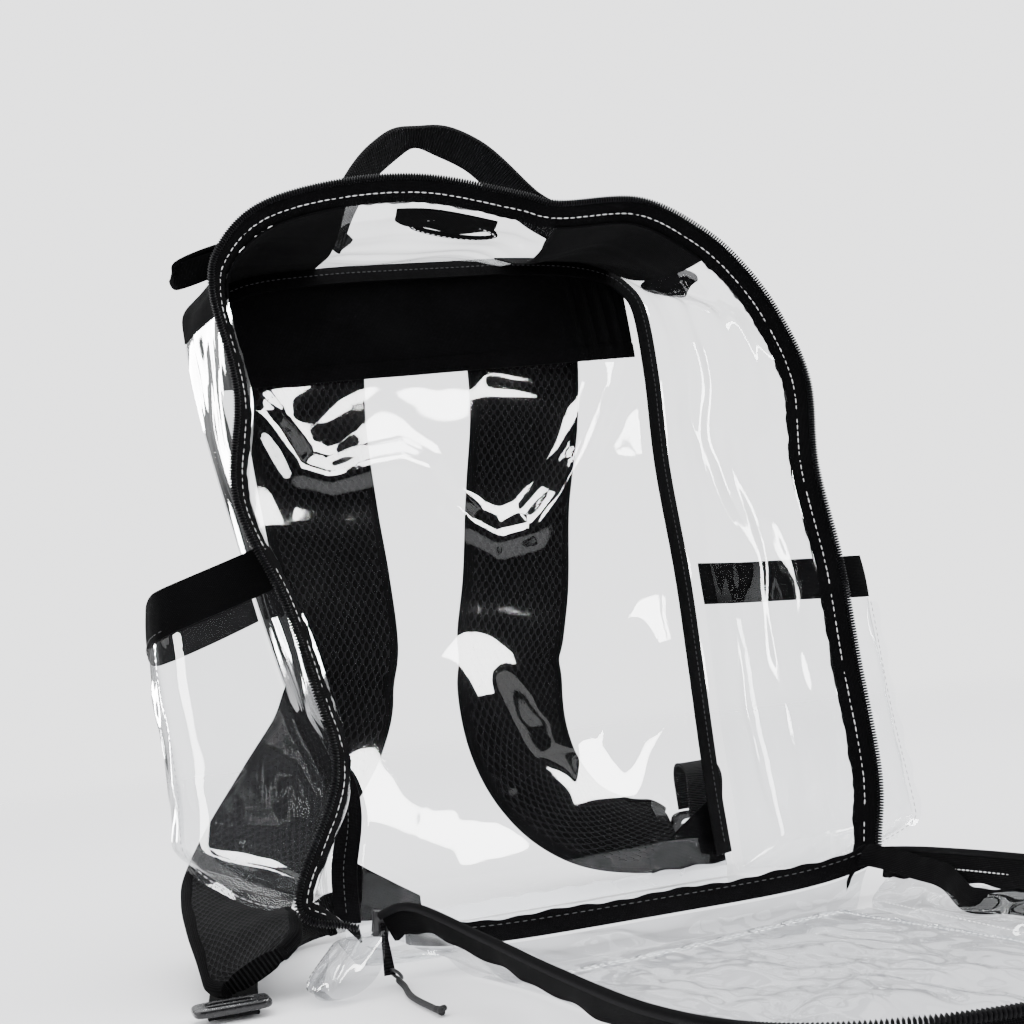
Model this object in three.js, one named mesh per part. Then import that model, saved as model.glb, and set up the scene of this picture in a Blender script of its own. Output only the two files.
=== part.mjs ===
import * as THREE from 'three';

// A clear backpack that stands open on the floor, its front panel folded down before it.
// Millimetres. X runs to the right, Y to the back and Z up. The floor is Z = 0.
const BODY_WIDTH = 330;
const BODY_HEIGHT = 430;
const BODY_DEPTH = 150;
const BACK_LEAN = 0.144;
const HINGE_HEIGHT = 24;
const HINGE_RISE = 9;
const FLOOR_GAP = 0.6;
const FILM = 1.2;
const CLOTH = 1.6;
const SEAM_GAP = 0.2;
const TAPE_WIDTH = 15;
const TAPE_INSET = 10;
const COIL_WIDTH = 4.2;
const BINDING_WIDTH = 15;
const YOKE_FOOT = 0.825;
const PANEL_WALL = 34;
const PANEL_LENGTH = 415;
const POCKET_BAND = 27;
const STRAP_WIDTH = 76;
const STRAP_THICKNESS = 11;
const WEBBING_WIDTH = 25;
const WEBBING_THICKNESS = 2;
const HANDLE_WIDTH = 24;
const LOOP_WIDTH = 22;
const LOOP_BULGE = 7;

// The rim of the zip opening and the seam round the back panel, station by station,
// up the left side, over the top and down the right side.
// Side is a share of the body's width, up is a share of its height.
const STATIONS = [
  { at: 'left foot', rimSide: -0.432, rimUp: 0.010, backSide: -0.397, backUp: 0.000 },
  { at: 'left bulge', rimSide: -0.522, rimUp: 0.048, backSide: -0.391, backUp: 0.093 },
  { at: 'left pinch', rimSide: -0.436, rimUp: 0.191, backSide: -0.367, backUp: 0.195 },
  { at: 'left pocket', rimSide: -0.450, rimUp: 0.301, backSide: -0.415, backUp: 0.319 },
  { at: 'left pocket band', rimSide: -0.481, rimUp: 0.417, backSide: -0.448, backUp: 0.437 },
  { at: 'left middle', rimSide: -0.537, rimUp: 0.553, backSide: -0.490, backUp: 0.610 },
  { at: 'left upper', rimSide: -0.513, rimUp: 0.693, backSide: -0.524, backUp: 0.782 },
  { at: 'left shoulder', rimSide: -0.532, rimUp: 0.834, backSide: -0.533, backUp: 0.893 },
  { at: 'left corner', rimSide: -0.505, rimUp: 0.898, backSide: -0.519, backUp: 0.951 },
  { at: 'left corner end', rimSide: -0.425, rimUp: 0.951, backSide: -0.412, backUp: 0.993 },
  { at: 'top left', rimSide: -0.279, rimUp: 0.979, backSide: -0.258, backUp: 1.005 },
  { at: 'top crest', rimSide: -0.124, rimUp: 0.981, backSide: -0.106, backUp: 1.007 },
  { at: 'top dip', rimSide: 0.039, rimUp: 0.951, backSide: 0.039, backUp: 1.007 },
  { at: 'top right', rimSide: 0.112, rimUp: 0.935, backSide: 0.121, backUp: 1.007 },
  { at: 'right crest', rimSide: 0.270, rimUp: 0.935, backSide: 0.258, backUp: 1.000 },
  { at: 'right corner', rimSide: 0.382, rimUp: 0.885, backSide: 0.348, backUp: 0.984 },
  { at: 'right corner end', rimSide: 0.451, rimUp: 0.824, backSide: 0.403, backUp: 0.956 },
  { at: 'right shoulder', rimSide: 0.500, rimUp: 0.748, backSide: 0.437, backUp: 0.906 },
  { at: 'right upper', rimSide: 0.529, rimUp: 0.652, backSide: 0.438, backUp: 0.790 },
  { at: 'right middle', rimSide: 0.510, rimUp: 0.529, backSide: 0.424, backUp: 0.639 },
  { at: 'right pocket band', rimSide: 0.518, rimUp: 0.391, backSide: 0.423, backUp: 0.464 },
  { at: 'right pocket', rimSide: 0.512, rimUp: 0.256, backSide: 0.415, backUp: 0.324 },
  { at: 'right lower', rimSide: 0.506, rimUp: 0.098, backSide: 0.403, backUp: 0.140 },
  { at: 'right foot', rimSide: 0.476, rimUp: 0.005, backSide: 0.400, backUp: 0.000 },
];

// The rim of the folded-down front panel, from the hinge's left end round to its right end.
// Ahead is a share of the panel's length before the hinge, rise is in millimetres.
const PANEL_RIM = [
  { at: 'hinge left', side: -0.412, ahead: 0.012, rise: 32 },
  { at: 'left lift', side: -0.375, ahead: 0.10, rise: 40 },
  { at: 'left run', side: -0.335, ahead: 0.30, rise: 33 },
  { at: 'left middle', side: -0.322, ahead: 0.52, rise: 30 },
  { at: 'left far', side: -0.316, ahead: 0.76, rise: 31 },
  { at: 'left turn', side: -0.275, ahead: 0.91, rise: 33 },
  { at: 'left corner', side: -0.175, ahead: 0.985, rise: 34 },
  { at: 'end left', side: -0.04, ahead: 1.0, rise: 33 },
  { at: 'end right', side: 0.17, ahead: 1.0, rise: 34 },
  { at: 'right corner', side: 0.32, ahead: 0.985, rise: 33 },
  { at: 'right turn', side: 0.42, ahead: 0.91, rise: 34 },
  { at: 'right far', side: 0.462, ahead: 0.76, rise: 33 },
  { at: 'right middle', side: 0.468, ahead: 0.52, rise: 31 },
  { at: 'right run', side: 0.472, ahead: 0.30, rise: 29 },
  { at: 'right near', side: 0.476, ahead: 0.12, rise: 26 },
  { at: 'hinge right', side: 0.478, ahead: 0.012, rise: 23 },
];

// The side pockets: how far out they reach at the front and back, and the heights of
// foot, knee and mouth. Lift raises the ends of the mouth along the side wall, and
// seat is the distance from the wall where the ends are sewn on.
const POCKETS = {
  left: { sign: -1, first: 0, last: 6, front: 226, back: 219, foot: 36, knee: 78, mouth: 208, lift: 22, seat: 3.5 },
  right: { sign: 1, first: 23, last: 17, front: 200, back: 166, foot: 9, knee: 30, mouth: 197, lift: 2, seat: 1.9 },
};

// A pocket seen from above: depth across the side wall, and out as a share of its reach.
const POCKET_PLAN = [
  { depth: 0.015, out: 0.0 },
  { depth: 0.02, out: 0.3 },
  { depth: 0.03, out: 0.62 },
  { depth: 0.06, out: 0.9 },
  { depth: 0.15, out: 1.0 },
  { depth: 0.5, out: 1.03 },
  { depth: 0.78, out: 0.98 },
  { depth: 0.88, out: 0.86 },
  { depth: 0.925, out: 0.5 },
  { depth: 0.94, out: 0.0 },
];

// The middle line of each shoulder strap. Side is a share of the body's width, up is a share
// of its height, and out is the distance behind the back panel.
// Faces is the way that the side next to the bag looks.
const STRAPS = {
  left: [
    { side: -0.3030, out: 5.0, up: 0.9628, faces: [0, -1, 0] },
    { side: -0.3030, out: 9, up: 0.8512, faces: [0, -1, 0] },
    { side: -0.3061, out: 20, up: 0.7395, faces: [0, -1, 0] },
    { side: -0.3000, out: 24, up: 0.6093, faces: [0, -1, 0] },
    { side: -0.2970, out: 17, up: 0.4930, faces: [0, -1, 0] },
    { side: -0.3000, out: 24, up: 0.3814, faces: [0, -1, 0] },
    { side: -0.3394, out: 34, up: 0.2837, faces: [0.05, -1, 0.1] },
    { side: -0.4242, out: 40, up: 0.2000, faces: [0.2, -0.9, 0.4] },
    { side: -0.5030, out: 30, up: 0.1349, faces: [0.3, -0.6, 0.7] },
    { side: -0.5576, out: 0, up: 0.0930, faces: [0.3, -0.2, 0.87] },
    { side: -0.5788, out: -42, up: 0.0791, faces: [0.2, -0.1, 0.87] },
    { side: -0.5879, out: -88, up: 0.0721, faces: [0.0, -0.2, 0.9] },
    { side: -0.5939, out: -128, up: 0.0628, faces: [-0.25, -0.35, 0.85] },
    { side: -0.6030, out: -162, up: 0.0395, faces: [-0.5, -0.5, 0.75] },
  ],
  right: [
    { side: 0.1576, out: 4.9, up: 0.9628, faces: [0, -1, 0] },
    { side: 0.1576, out: 9, up: 0.8512, faces: [0, -1, 0] },
    { side: 0.1485, out: 20, up: 0.7395, faces: [0, -1, 0] },
    { side: 0.1091, out: 24, up: 0.6093, faces: [0, -1, 0] },
    { side: 0.0697, out: 17, up: 0.4791, faces: [0, -1, 0] },
    { side: 0.0364, out: 24, up: 0.3628, faces: [0, -1, 0] },
    { side: 0.0364, out: 34, up: 0.2558, faces: [0, -1, 0.1] },
    { side: 0.0788, out: 45, up: 0.1674, faces: [0, -1, 0.3] },
    { side: 0.1576, out: 52, up: 0.1023, faces: [0, -0.9, 0.6] },
    { side: 0.2545, out: 54, up: 0.0698, faces: [0, -0.75, 0.8] },
    { side: 0.3455, out: 54, up: 0.0605, faces: [0, -0.65, 0.85] },
  ],
};

// The adjusting webbing, from the corner tab to the strap's end.
const WEBBINGS = {
  left: [
    { side: -0.3515, out: 6.0, up: 0.0395, faces: [0, -1, 0] },
    { side: -0.3879, out: 8.8, up: 0.0372, faces: [-0.1, -1, 0.1] },
    { side: -0.4182, out: 14, up: 0.0279, faces: [-0.4, -0.7, 0.6] },
    { side: -0.4848, out: 4, up: 0.0102, faces: [-0.1, -0.2, 1] },
    { side: -0.5697, out: -36, up: 0.0060, faces: [0, 0, 1] },
    { side: -0.6061, out: -80, up: 0.0056, faces: [0, 0, 1] },
    { side: -0.6303, out: -134, up: 0.0056, faces: [0, 0, 1] },
    { side: -0.6485, out: -186, up: 0.0056, faces: [0, 0, 1] },
  ],
  right: [
    { side: 0.3636, out: 5.2, up: 0.0372, faces: [0, -1, 0] },
    { side: 0.3697, out: 6.5, up: 0.0698, faces: [0, -1, 0] },
    { side: 0.3818, out: 12, up: 0.1163, faces: [0, -1, 0.1] },
    { side: 0.3970, out: 20, up: 0.1535, faces: [0, -0.6, 0.8] },
    { side: 0.4000, out: 36, up: 0.1674, faces: [0, 0.2, 1] },
    { side: 0.4061, out: 50, up: 0.1488, faces: [0, 0.8, 0.7] },
    { side: 0.4091, out: 54, up: 0.0953, faces: [0.1, 0.9, 0.4] },
  ],
};

// The carrying loop on the top, from its left foot over the crest to its right foot.
// Side is a share of the body's width.
const HANDLE = [
  { side: -0.2333, ahead: 0, rise: 4.2 },
  { side: -0.2545, ahead: 1, rise: 12 },
  { side: -0.2182, ahead: 4, rise: 36 },
  { side: -0.1545, ahead: 7, rise: 61 },
  { side: -0.0667, ahead: 9, rise: 77 },
  { side: 0.0424, ahead: 7, rise: 65 },
  { side: 0.1394, ahead: 4, rise: 38 },
  { side: 0.2030, ahead: 1, rise: 17 },
  { side: 0.1848, ahead: 0, rise: 4.4 },
];

const clamp = (v, low, high) => Math.min(high, Math.max(low, v));
const mix = (a, b, t) => a + (b - a) * t;

// A point of the leaning body: side and up in millimetres, depth 0 at the rim and 1 at the back.
function bodyPoint(side, up, depth) {
  const foot = mix(HINGE_HEIGHT, FLOOR_GAP + FILM / 2, clamp(depth * 1.25, 0, 1));
  return new THREE.Vector3(side, (depth - 0.5) * BODY_DEPTH + BACK_LEAN * up, foot + 0.99 * up);
}

// A smooth line through table rows, read at row numbers that may be fractions.
function through(rows, read) {
  const curve = new THREE.CatmullRomCurve3(rows.map(read), false, 'catmullrom', 0.5);
  return (row) => curve.getPoint(clamp(row / (rows.length - 1), 0, 1));
}

const rimLine = through(STATIONS, (r) => new THREE.Vector3(r.rimSide * BODY_WIDTH, 0, r.rimUp * BODY_HEIGHT));
const backLine = through(STATIONS, (r) => new THREE.Vector3(r.backSide * BODY_WIDTH, 0, r.backUp * BODY_HEIGHT));

// The way into the opening, square to a line of the front or back.
function inward(line, row) {
  const a = line(Math.max(row - 0.1, 0));
  const b = line(Math.min(row + 0.1, STATIONS.length - 1));
  const along = b.sub(a).normalize();
  return new THREE.Vector3(along.z, 0, -along.x);
}

function rimPoint(row, inset, depth) {
  const p = rimLine(row).addScaledVector(inward(rimLine, row), inset);
  return bodyPoint(p.x, Math.max(p.z, 0), depth);
}

function backPoint(row, inset, depth) {
  const p = backLine(row).addScaledVector(inward(backLine, row), inset);
  return bodyPoint(p.x, Math.max(p.z, 0), depth);
}

const RIM_DEPTH = TAPE_WIDTH / BODY_DEPTH * 0.75;
const SEAM_DEPTH = 1 - 1.2 / BODY_DEPTH;

// The side and top walls run from the tape's inner edge to the back seam.
function wallPoint(row, share) {
  const front = rimPoint(row, TAPE_INSET, RIM_DEPTH);
  const back = backPoint(row, 0, SEAM_DEPTH);
  const p = front.lerp(back, share);
  const top = clamp((row - 9) / 1.5, 0, 1) * clamp((17 - row) / 1.5, 0, 1);
  const belly = Math.sin(Math.PI * share);
  const out = inward(backLine, row).negate();
  const ripple = 2.4 * Math.sin(row * 2.3) * belly + 1.6 * Math.sin(row * 4.1 + share * 5) * belly;
  p.addScaledVector(out, ripple);
  p.z -= 9 * top * belly;
  const low = clamp(1 - Math.min(row, 23 - row) / 0.6, 0, 1);
  p.z = mix(p.z, bottomHeight(row < 12 ? 0 : 1, share) + 1.7, low * low);
  return p;
}

// The bottom's height above the floor: u across from the left, v from front to back.
function bottomHeight(u, v) {
  const front = HINGE_RISE + 9 * Math.abs(2 * u - 1) ** 6;
  return FLOOR_GAP + (front - FLOOR_GAP) * clamp(1 - v / 0.4, 0, 1) ** 1.6;
}

// Closed shells are made from a grid of points and its copies to both sides.
function closedBody(front, back, wrap) {
  const rows = front.length;
  const columns = front[0].length;
  const positions = [];
  for (const grid of [front, back]) {
    for (const row of grid) for (const p of row) positions.push(p.x, p.y, p.z);
  }
  const index = [];
  const id = (side, i, j) => side * rows * columns + (i % rows) * columns + j;
  const quad = (a, b, c, d) => index.push(a, b, c, a, c, d);
  const lastRow = wrap ? rows : rows - 1;
  for (let i = 0; i < lastRow; i++) {
    for (let j = 0; j < columns - 1; j++) {
      quad(id(0, i, j), id(0, i + 1, j), id(0, i + 1, j + 1), id(0, i, j + 1));
      quad(id(1, i, j), id(1, i, j + 1), id(1, i + 1, j + 1), id(1, i + 1, j));
    }
    quad(id(0, i, 0), id(1, i, 0), id(1, i + 1, 0), id(0, i + 1, 0));
    const e = columns - 1;
    quad(id(0, i, e), id(0, i + 1, e), id(1, i + 1, e), id(1, i, e));
  }
  if (!wrap) {
    for (let j = 0; j < columns - 1; j++) {
      quad(id(0, 0, j), id(0, 0, j + 1), id(1, 0, j + 1), id(1, 0, j));
      const e = rows - 1;
      quad(id(0, e, j), id(1, e, j), id(1, e, j + 1), id(0, e, j + 1));
    }
  }
  return faceOut(positions, index);
}

// Turns the triangles round when they face in.
function faceOut(positions, index) {
  const p = (i) => new THREE.Vector3(positions[3 * i], positions[3 * i + 1], positions[3 * i + 2]);
  let volume = 0;
  for (let k = 0; k < index.length; k += 3) {
    volume += p(index[k]).dot(p(index[k + 1]).cross(p(index[k + 2])));
  }
  if (volume < 0) {
    for (let k = 0; k < index.length; k += 3) {
      const keep = index[k + 1];
      index[k + 1] = index[k + 2];
      index[k + 2] = keep;
    }
  }
  const geometry = new THREE.BufferGeometry();
  geometry.setAttribute('position', new THREE.Float32BufferAttribute(positions, 3));
  geometry.setIndex(index);
  geometry.computeVertexNormals();
  return geometry;
}

// A sheet of even thickness on a grid that place(u, v) gives for u and v from 0 to 1.
function sheet(place, across, along, thickness, wrap = false) {
  const grid = [];
  const rows = wrap ? along : along + 1;
  for (let i = 0; i < rows; i++) {
    const row = [];
    for (let j = 0; j <= across; j++) row.push(place(j / across, i / along));
    grid.push(row);
  }
  const at = (i, j) => {
    const r = wrap ? (i + rows) % rows : clamp(i, 0, rows - 1);
    return grid[r][clamp(j, 0, across)];
  };
  const normal = (i, j) => {
    const a = at(i, j + 1).clone().sub(at(i, j - 1));
    const b = at(i + 1, j).clone().sub(at(i - 1, j));
    return a.cross(b).normalize();
  };
  const moved = (by) => grid.map((row, i) => row.map((p, j) => p.clone().addScaledVector(normal(i, j), by)));
  return closedBody(moved(thickness / 2), moved(-thickness / 2), wrap);
}

// A strip or rod: the section's points are carried along the line of frames.
function sweep(frames, section) {
  const sides = section.length;
  const positions = [];
  for (const f of frames) {
    for (const [a, b] of section) {
      const p = f.p.clone().addScaledVector(f.across, a * (f.scale ?? 1)).addScaledVector(f.normal, b);
      positions.push(p.x, p.y, p.z);
    }
  }
  const index = [];
  for (let i = 0; i < frames.length - 1; i++) {
    for (let k = 0; k < sides; k++) {
      const a = i * sides + k;
      const b = i * sides + (k + 1) % sides;
      index.push(a, b, b + sides, a, b + sides, a + sides);
    }
  }
  const end = (frames.length - 1) * sides;
  for (let k = 1; k < sides - 1; k++) {
    index.push(0, k + 1, k);
    index.push(end, end + k, end + k + 1);
  }
  return faceOut(positions, index);
}

// Frames along a smooth line, with the flat side looking the given ways.
function framesAlong(points, faces, steps) {
  const line = new THREE.CatmullRomCurve3(points, false, 'centripetal');
  const looks = new THREE.CatmullRomCurve3(faces, false, 'catmullrom', 0.5);
  const frames = [];
  for (let i = 0; i <= steps; i++) {
    const t = i / steps;
    const tangent = line.getTangent(t);
    const normal = looks.getPoint(t);
    normal.addScaledVector(tangent, -normal.dot(tangent)).normalize();
    const across = normal.clone().cross(tangent).normalize();
    frames.push({ p: line.getPoint(t), across, normal, t });
  }
  return frames;
}

// An oblong with rounded long edges, as points round its middle.
function padSection(width, thickness, corner) {
  const w = width / 2;
  const h = thickness / 2;
  return [
    [-w, -h * 0.4], [-w + corner, -h], [w - corner, -h], [w, -h * 0.4],
    [w, h * 0.4], [w - corner, h], [-w + corner, h], [-w, h * 0.4],
  ];
}

const flatSection = (w, h) => [[-w / 2, -h / 2], [w / 2, -h / 2], [w / 2, h / 2], [-w / 2, h / 2]];

function roundSection(radius, sides) {
  const ring = [];
  for (let k = 0; k < sides; k++) {
    const a = (2 * Math.PI * k) / sides;
    ring.push([radius * Math.cos(a), radius * Math.sin(a)]);
  }
  return ring;
}

const FINISH = {
  film: { color: '#e9eef0', roughness: 0.06, metalness: 0 },
  cloth: { color: '#101012', roughness: 0.85, metalness: 0 },
  webbing: { color: '#0e0e10', roughness: 0.75, metalness: 0 },
  mesh: { color: '#131315', roughness: 0.9, metalness: 0 },
  plastic: { color: '#0c0c0d', roughness: 0.35, metalness: 0 },
  metal: { color: '#1a1a1c', roughness: 0.4, metalness: 0.6 },
};

const model = new THREE.Group();
model.name = 'clear_backpack';

function addPart(parent, name, geometry, finish) {
  const mesh = new THREE.Mesh(geometry, new THREE.MeshStandardMaterial(FINISH[finish]));
  mesh.name = name;
  parent.add(mesh);
  return mesh;
}

const body = new THREE.Group();
body.name = 'body_group';
model.add(body);

// Side walls, black corners and the clear top between them.
function wall(name, from, to, steps, finish) {
  const gap = SEAM_GAP / 30;
  const place = (u, v) => wallPoint(mix(from + gap, to - gap, v), u);
  addPart(body, name, sheet(place, 7, steps, finish === 'film' ? FILM : CLOTH), finish);
}
wall('gusset_left', 0.02, 7, 13, 'film');
wall('corner_left', 7, 10, 8, 'cloth');
wall('gusset_top', 10, 13, 7, 'film');
wall('corner_right', 13, 15.3, 6, 'cloth');
wall('gusset_right', 15.3, 22.98, 14, 'film');

// The back panel reaches up to the yoke, and a row of it spans between the two side seams.
function seamRow(up, from, to) {
  let low = from;
  let high = to;
  for (let k = 0; k < 30; k++) {
    const middle = (low + high) / 2;
    if (backLine(middle).z < up) low = middle;
    else high = middle;
  }
  return (low + high) / 2;
}

function backPanelPoint(across, up, depth, inset) {
  const left = backLine(seamRow(up, 0, 11)).x + inset;
  const right = backLine(seamRow(up, 23, 12)).x - inset;
  return bodyPoint(mix(left, right, across), up, depth);
}

function backSurface(u, v) {
  const top = YOKE_FOOT * BODY_HEIGHT + 6;
  const p = backPanelPoint(u, mix(0.6, top, v), 1, 0.9);
  const belly = Math.sin(Math.PI * u) * Math.sin(Math.PI * clamp(v, 0, 1));
  p.y += 5 * belly + 1.5 * Math.sin(u * 9) * Math.sin(v * 7) * belly;
  return p;
}
addPart(body, 'back_panel', sheet(backSurface, 10, 12, FILM), 'film');

// The yoke is a cloth band on the inside of the top, gathered at its right end.
function yokeSurface(u, v) {
  const side = mix(-0.461, 0.382, u) * BODY_WIDTH;
  const topRow = side < 0 ? seamRowAtSide(side, 8, 11.4) : seamRowAtSide(side, 11.4, 17);
  const top = backLine(topRow).z - 2.5;
  const foot = YOKE_FOOT * BODY_HEIGHT - 4 * (1 - u);
  const p = bodyPoint(side, mix(foot, top, v), 1 - 1.8 / BODY_DEPTH);
  const belly = Math.sin(Math.PI * u) * Math.sin(Math.PI * v);
  const gather = clamp((u - 0.78) / 0.1, 0, 1) * clamp((1 - u) / 0.08, 0, 1) * Math.sin(Math.PI * v);
  p.y -= 2.5 * belly + 1.6 * gather * (1 + Math.sin(u * 150));
  return p;
}

function seamRowAtSide(side, from, to) {
  let low = from;
  let high = to;
  for (let k = 0; k < 30; k++) {
    const middle = (low + high) / 2;
    if (backLine(middle).x < side) low = middle;
    else high = middle;
  }
  return (low + high) / 2;
}
addPart(body, 'yoke_band', sheet(yokeSurface, 26, 4, CLOTH), 'cloth');

// The cloth binding folded over the seam between the walls and the back panel.
function bindingSurface(u, v) {
  const row = mix(0.25, 22.75, v);
  const deep = BINDING_WIDTH * 0.62;
  return backPoint(row, 3.5 + u * BINDING_WIDTH * 0.72, 1 - (4.4 + u * deep) / BODY_DEPTH);
}
addPart(body, 'back_binding', sheet(bindingSurface, 1, 48, CLOTH), 'cloth');

// The bottom lies on the floor at the back and rises to the hinge at the front.
// Its left front corner swells forward to the floor.
function bottomSurface(u, v) {
  const left = mix(wallPoint(0.02, 0).x, backLine(0).x + 0.9, v);
  const right = mix(wallPoint(22.98, 0).x, backLine(23).x - 0.9, v);
  const swell = Math.exp(-(((u - 0.03) / 0.14) ** 2)) * Math.sin(Math.PI * Math.sqrt(clamp(1 - v / 0.4, 0, 1)));
  const y = mix(-BODY_DEPTH / 2 + 4, BODY_DEPTH / 2 - 0.9, v) - 22 * swell;
  return new THREE.Vector3(mix(left, right, u), y, bottomHeight(u, v));
}
addPart(body, 'bottom_panel', sheet(bottomSurface, 12, 9, FILM), 'film');

// The zip's tape flares out from the walls, and its coil runs along the outer edge.
function tapeSurface(u, v) {
  const row = mix(0, 23, v);
  const out = rimPoint(row, 0.8, 0.012);
  const inner = rimPoint(row, TAPE_INSET, RIM_DEPTH - 1.3 / BODY_DEPTH);
  const wave = 0.7 * Math.sin(row * 9) * u;
  const p = out.lerp(inner, u);
  return p.addScaledVector(inward(rimLine, row), wave);
}
const zipGroup = new THREE.Group();
zipGroup.name = 'zip_group';
body.add(zipGroup);
addPart(zipGroup, 'zip_tape_body', sheet(tapeSurface, 2, 52, CLOTH), 'cloth');

function coilFrames(point, from, to, steps) {
  const frames = [];
  for (let i = 0; i <= steps; i++) {
    const row = mix(from, to, i / steps);
    const p = point(row);
    const a = point(Math.max(row - 0.05, from));
    const b = point(Math.min(row + 0.05, to));
    const tangent = b.sub(a).normalize();
    const across = new THREE.Vector3(0, 1, 0).addScaledVector(tangent, -tangent.y).normalize();
    frames.push({ p, across, normal: tangent.clone().cross(across).normalize() });
  }
  return frames;
}
const coilSection = roundSection(COIL_WIDTH / 2, 5);
const bodyCoil = coilFrames((row) => rimPoint(row, -0.3, -0.005), 0, 23, 54);
addPart(zipGroup, 'zip_coil_body', sweep(bodyCoil, coilSection), 'plastic');

// The folded-down front panel: face on the floor, walls sloping up to the zip.
const panel = new THREE.Group();
panel.name = 'panel_group';
model.add(panel);
const HINGE_Y = -BODY_DEPTH / 2 - 4;

const panelLine = through(PANEL_RIM, (r) =>
  new THREE.Vector3(r.side * BODY_WIDTH, HINGE_Y - r.ahead * PANEL_LENGTH, r.rise));
const PANEL_LAST = PANEL_RIM.length - 1;

function panelInward(row) {
  const a = panelLine(Math.max(row - 0.1, 0));
  const b = panelLine(Math.min(row + 0.1, PANEL_LAST));
  const along = b.sub(a).setZ(0).normalize();
  return new THREE.Vector3(-along.y, along.x, 0);
}

// Inset and drop are measured from the rim, down the sloping wall.
function panelPoint(row, inset, drop) {
  const p = panelLine(row).addScaledVector(panelInward(row), inset);
  p.z = Math.max(p.z - drop, FLOOR_GAP);
  return p;
}

function panelTape(u, v) {
  const row = mix(0.2, PANEL_LAST - 0.02, v);
  return panelPoint(row, 1.4 + 7 * u, 0.6 + 9 * u);
}
addPart(panel, 'front_zip_tape', sheet(panelTape, 1, 50, CLOTH), 'cloth');
const frontCoil = coilFrames((row) => panelPoint(row, -0.7, -1.0), 0.12, PANEL_LAST - 0.02, 56);
addPart(panel, 'front_zip_coil', sweep(frontCoil, coilSection), 'plastic');

function panelWall(u, v) {
  const row = mix(0.2 + 0.75 * u, PANEL_LAST - 0.2 - 0.6 * u, v);
  const rim = panelPoint(row, 8.9, 10.2);
  const ripple = 1.8 * Math.sin(row * 3.1) * Math.sin(Math.PI * u);
  const foot = panelPoint(row, PANEL_WALL - 3, 100);
  return rim.lerp(foot, u).addScaledVector(panelInward(row), ripple);
}
addPart(panel, 'front_gusset', sheet(panelWall, 3, 38, FILM), 'film');

// The panel's face, laid out in rows from the hinge to the far end.
const FACE_NEAR = HINGE_Y - 36;
function panelSideAt(y, from, to) {
  let low = from;
  let high = to;
  for (let k = 0; k < 30; k++) {
    const middle = (low + high) / 2;
    if (panelPoint(middle, PANEL_WALL - 2.1, 100).y > y) low = middle;
    else high = middle;
  }
  return panelPoint((low + high) / 2, PANEL_WALL - 2.1, 100).x;
}

function faceSurface(u, v) {
  const far = HINGE_Y - PANEL_LENGTH + PANEL_WALL + 0.4;
  const y = mix(FACE_NEAR, far, Math.sin(v * Math.PI / 2));
  const left = panelSideAt(y, 0, 7.3);
  const right = panelSideAt(y, 15, 7.3);
  const p = new THREE.Vector3(mix(left, right, u), y, FLOOR_GAP);
  const belly = Math.sin(Math.PI * u) * Math.sin(Math.PI * v);
  p.z += Math.max(0, 3.2 * Math.sin(u * 7 + v * 4) * Math.sin(v * 9 + 1)) * belly;
  return p;
}
addPart(panel, 'front_face', sheet(faceSurface, 12, 14, FILM), 'film');

// The hinge hangs lower in the middle than at its ends.
const hingeHeight = (u) => HINGE_RISE + 1.1 + 7 * Math.abs(2 * u - 1) ** 5;

// The wall by the hinge slopes from the hinge binding down to the face.
function hingeWall(u, v) {
  const start = new THREE.Vector3(mix(-0.355, 0.436, u) * BODY_WIDTH, HINGE_Y - 4.3, 0);
  start.z = hingeHeight(u) - 1.7;
  const end = new THREE.Vector3(mix(-0.262, 0.36, u) * BODY_WIDTH, FACE_NEAR + 0.8, FLOOR_GAP);
  const p = start.lerp(end, v);
  p.z += 1.5 * Math.sin(u * 21) * Math.sin(Math.PI * v);
  return p;
}
addPart(panel, 'hinge_gusset', sheet(hingeWall, 16, 3, FILM), 'film');

function hingeSurface(u, v) {
  const x = mix(-0.362, 0.444, v) * BODY_WIDTH;
  const wave = 0.8 * Math.sin(v * 25);
  const arch = 3.5 * Math.sin(Math.PI * u);
  return new THREE.Vector3(x, mix(HINGE_Y + 6.6, HINGE_Y - 3.6, u), hingeHeight(v) + arch + wave * 0.4);
}
addPart(panel, 'hinge_binding', sheet(hingeSurface, 3, 18, CLOTH), 'cloth');

// A side pocket: film walls that stand out from the side, and a cloth band round the mouth.
const planLine = through(POCKET_PLAN, (r) => new THREE.Vector3(r.depth, r.out, 0));
function pocketSurface(p, share, height) {
  const plan = planLine(share * (POCKET_PLAN.length - 1));
  const low = clamp((height - p.foot) / (p.knee - p.foot), 0, 1);
  const swell = Math.sin(low * Math.PI / 2) ** 0.9;
  const out = clamp(plan.y, 0, 1.03) * swell * (1 + 0.02 * Math.sin(height / 22));
  const lift = p.lift * (1 - clamp(out, 0, 1)) * clamp((height - p.knee) / 90, 0, 1);
  const base = wallPoint(pocketRow(p, height + lift), plan.x);
  base.x = mix(base.x + p.sign * p.seat, p.sign * mix(p.front, p.back, plan.x), out);
  return base;
}

function pocketRow(p, height) {
  let low = p.first;
  let high = p.last;
  for (let k = 0; k < 30; k++) {
    const middle = (low + high) / 2;
    if (wallPoint(middle, 0.5).z < height) low = middle;
    else high = middle;
  }
  return (low + high) / 2;
}

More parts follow.
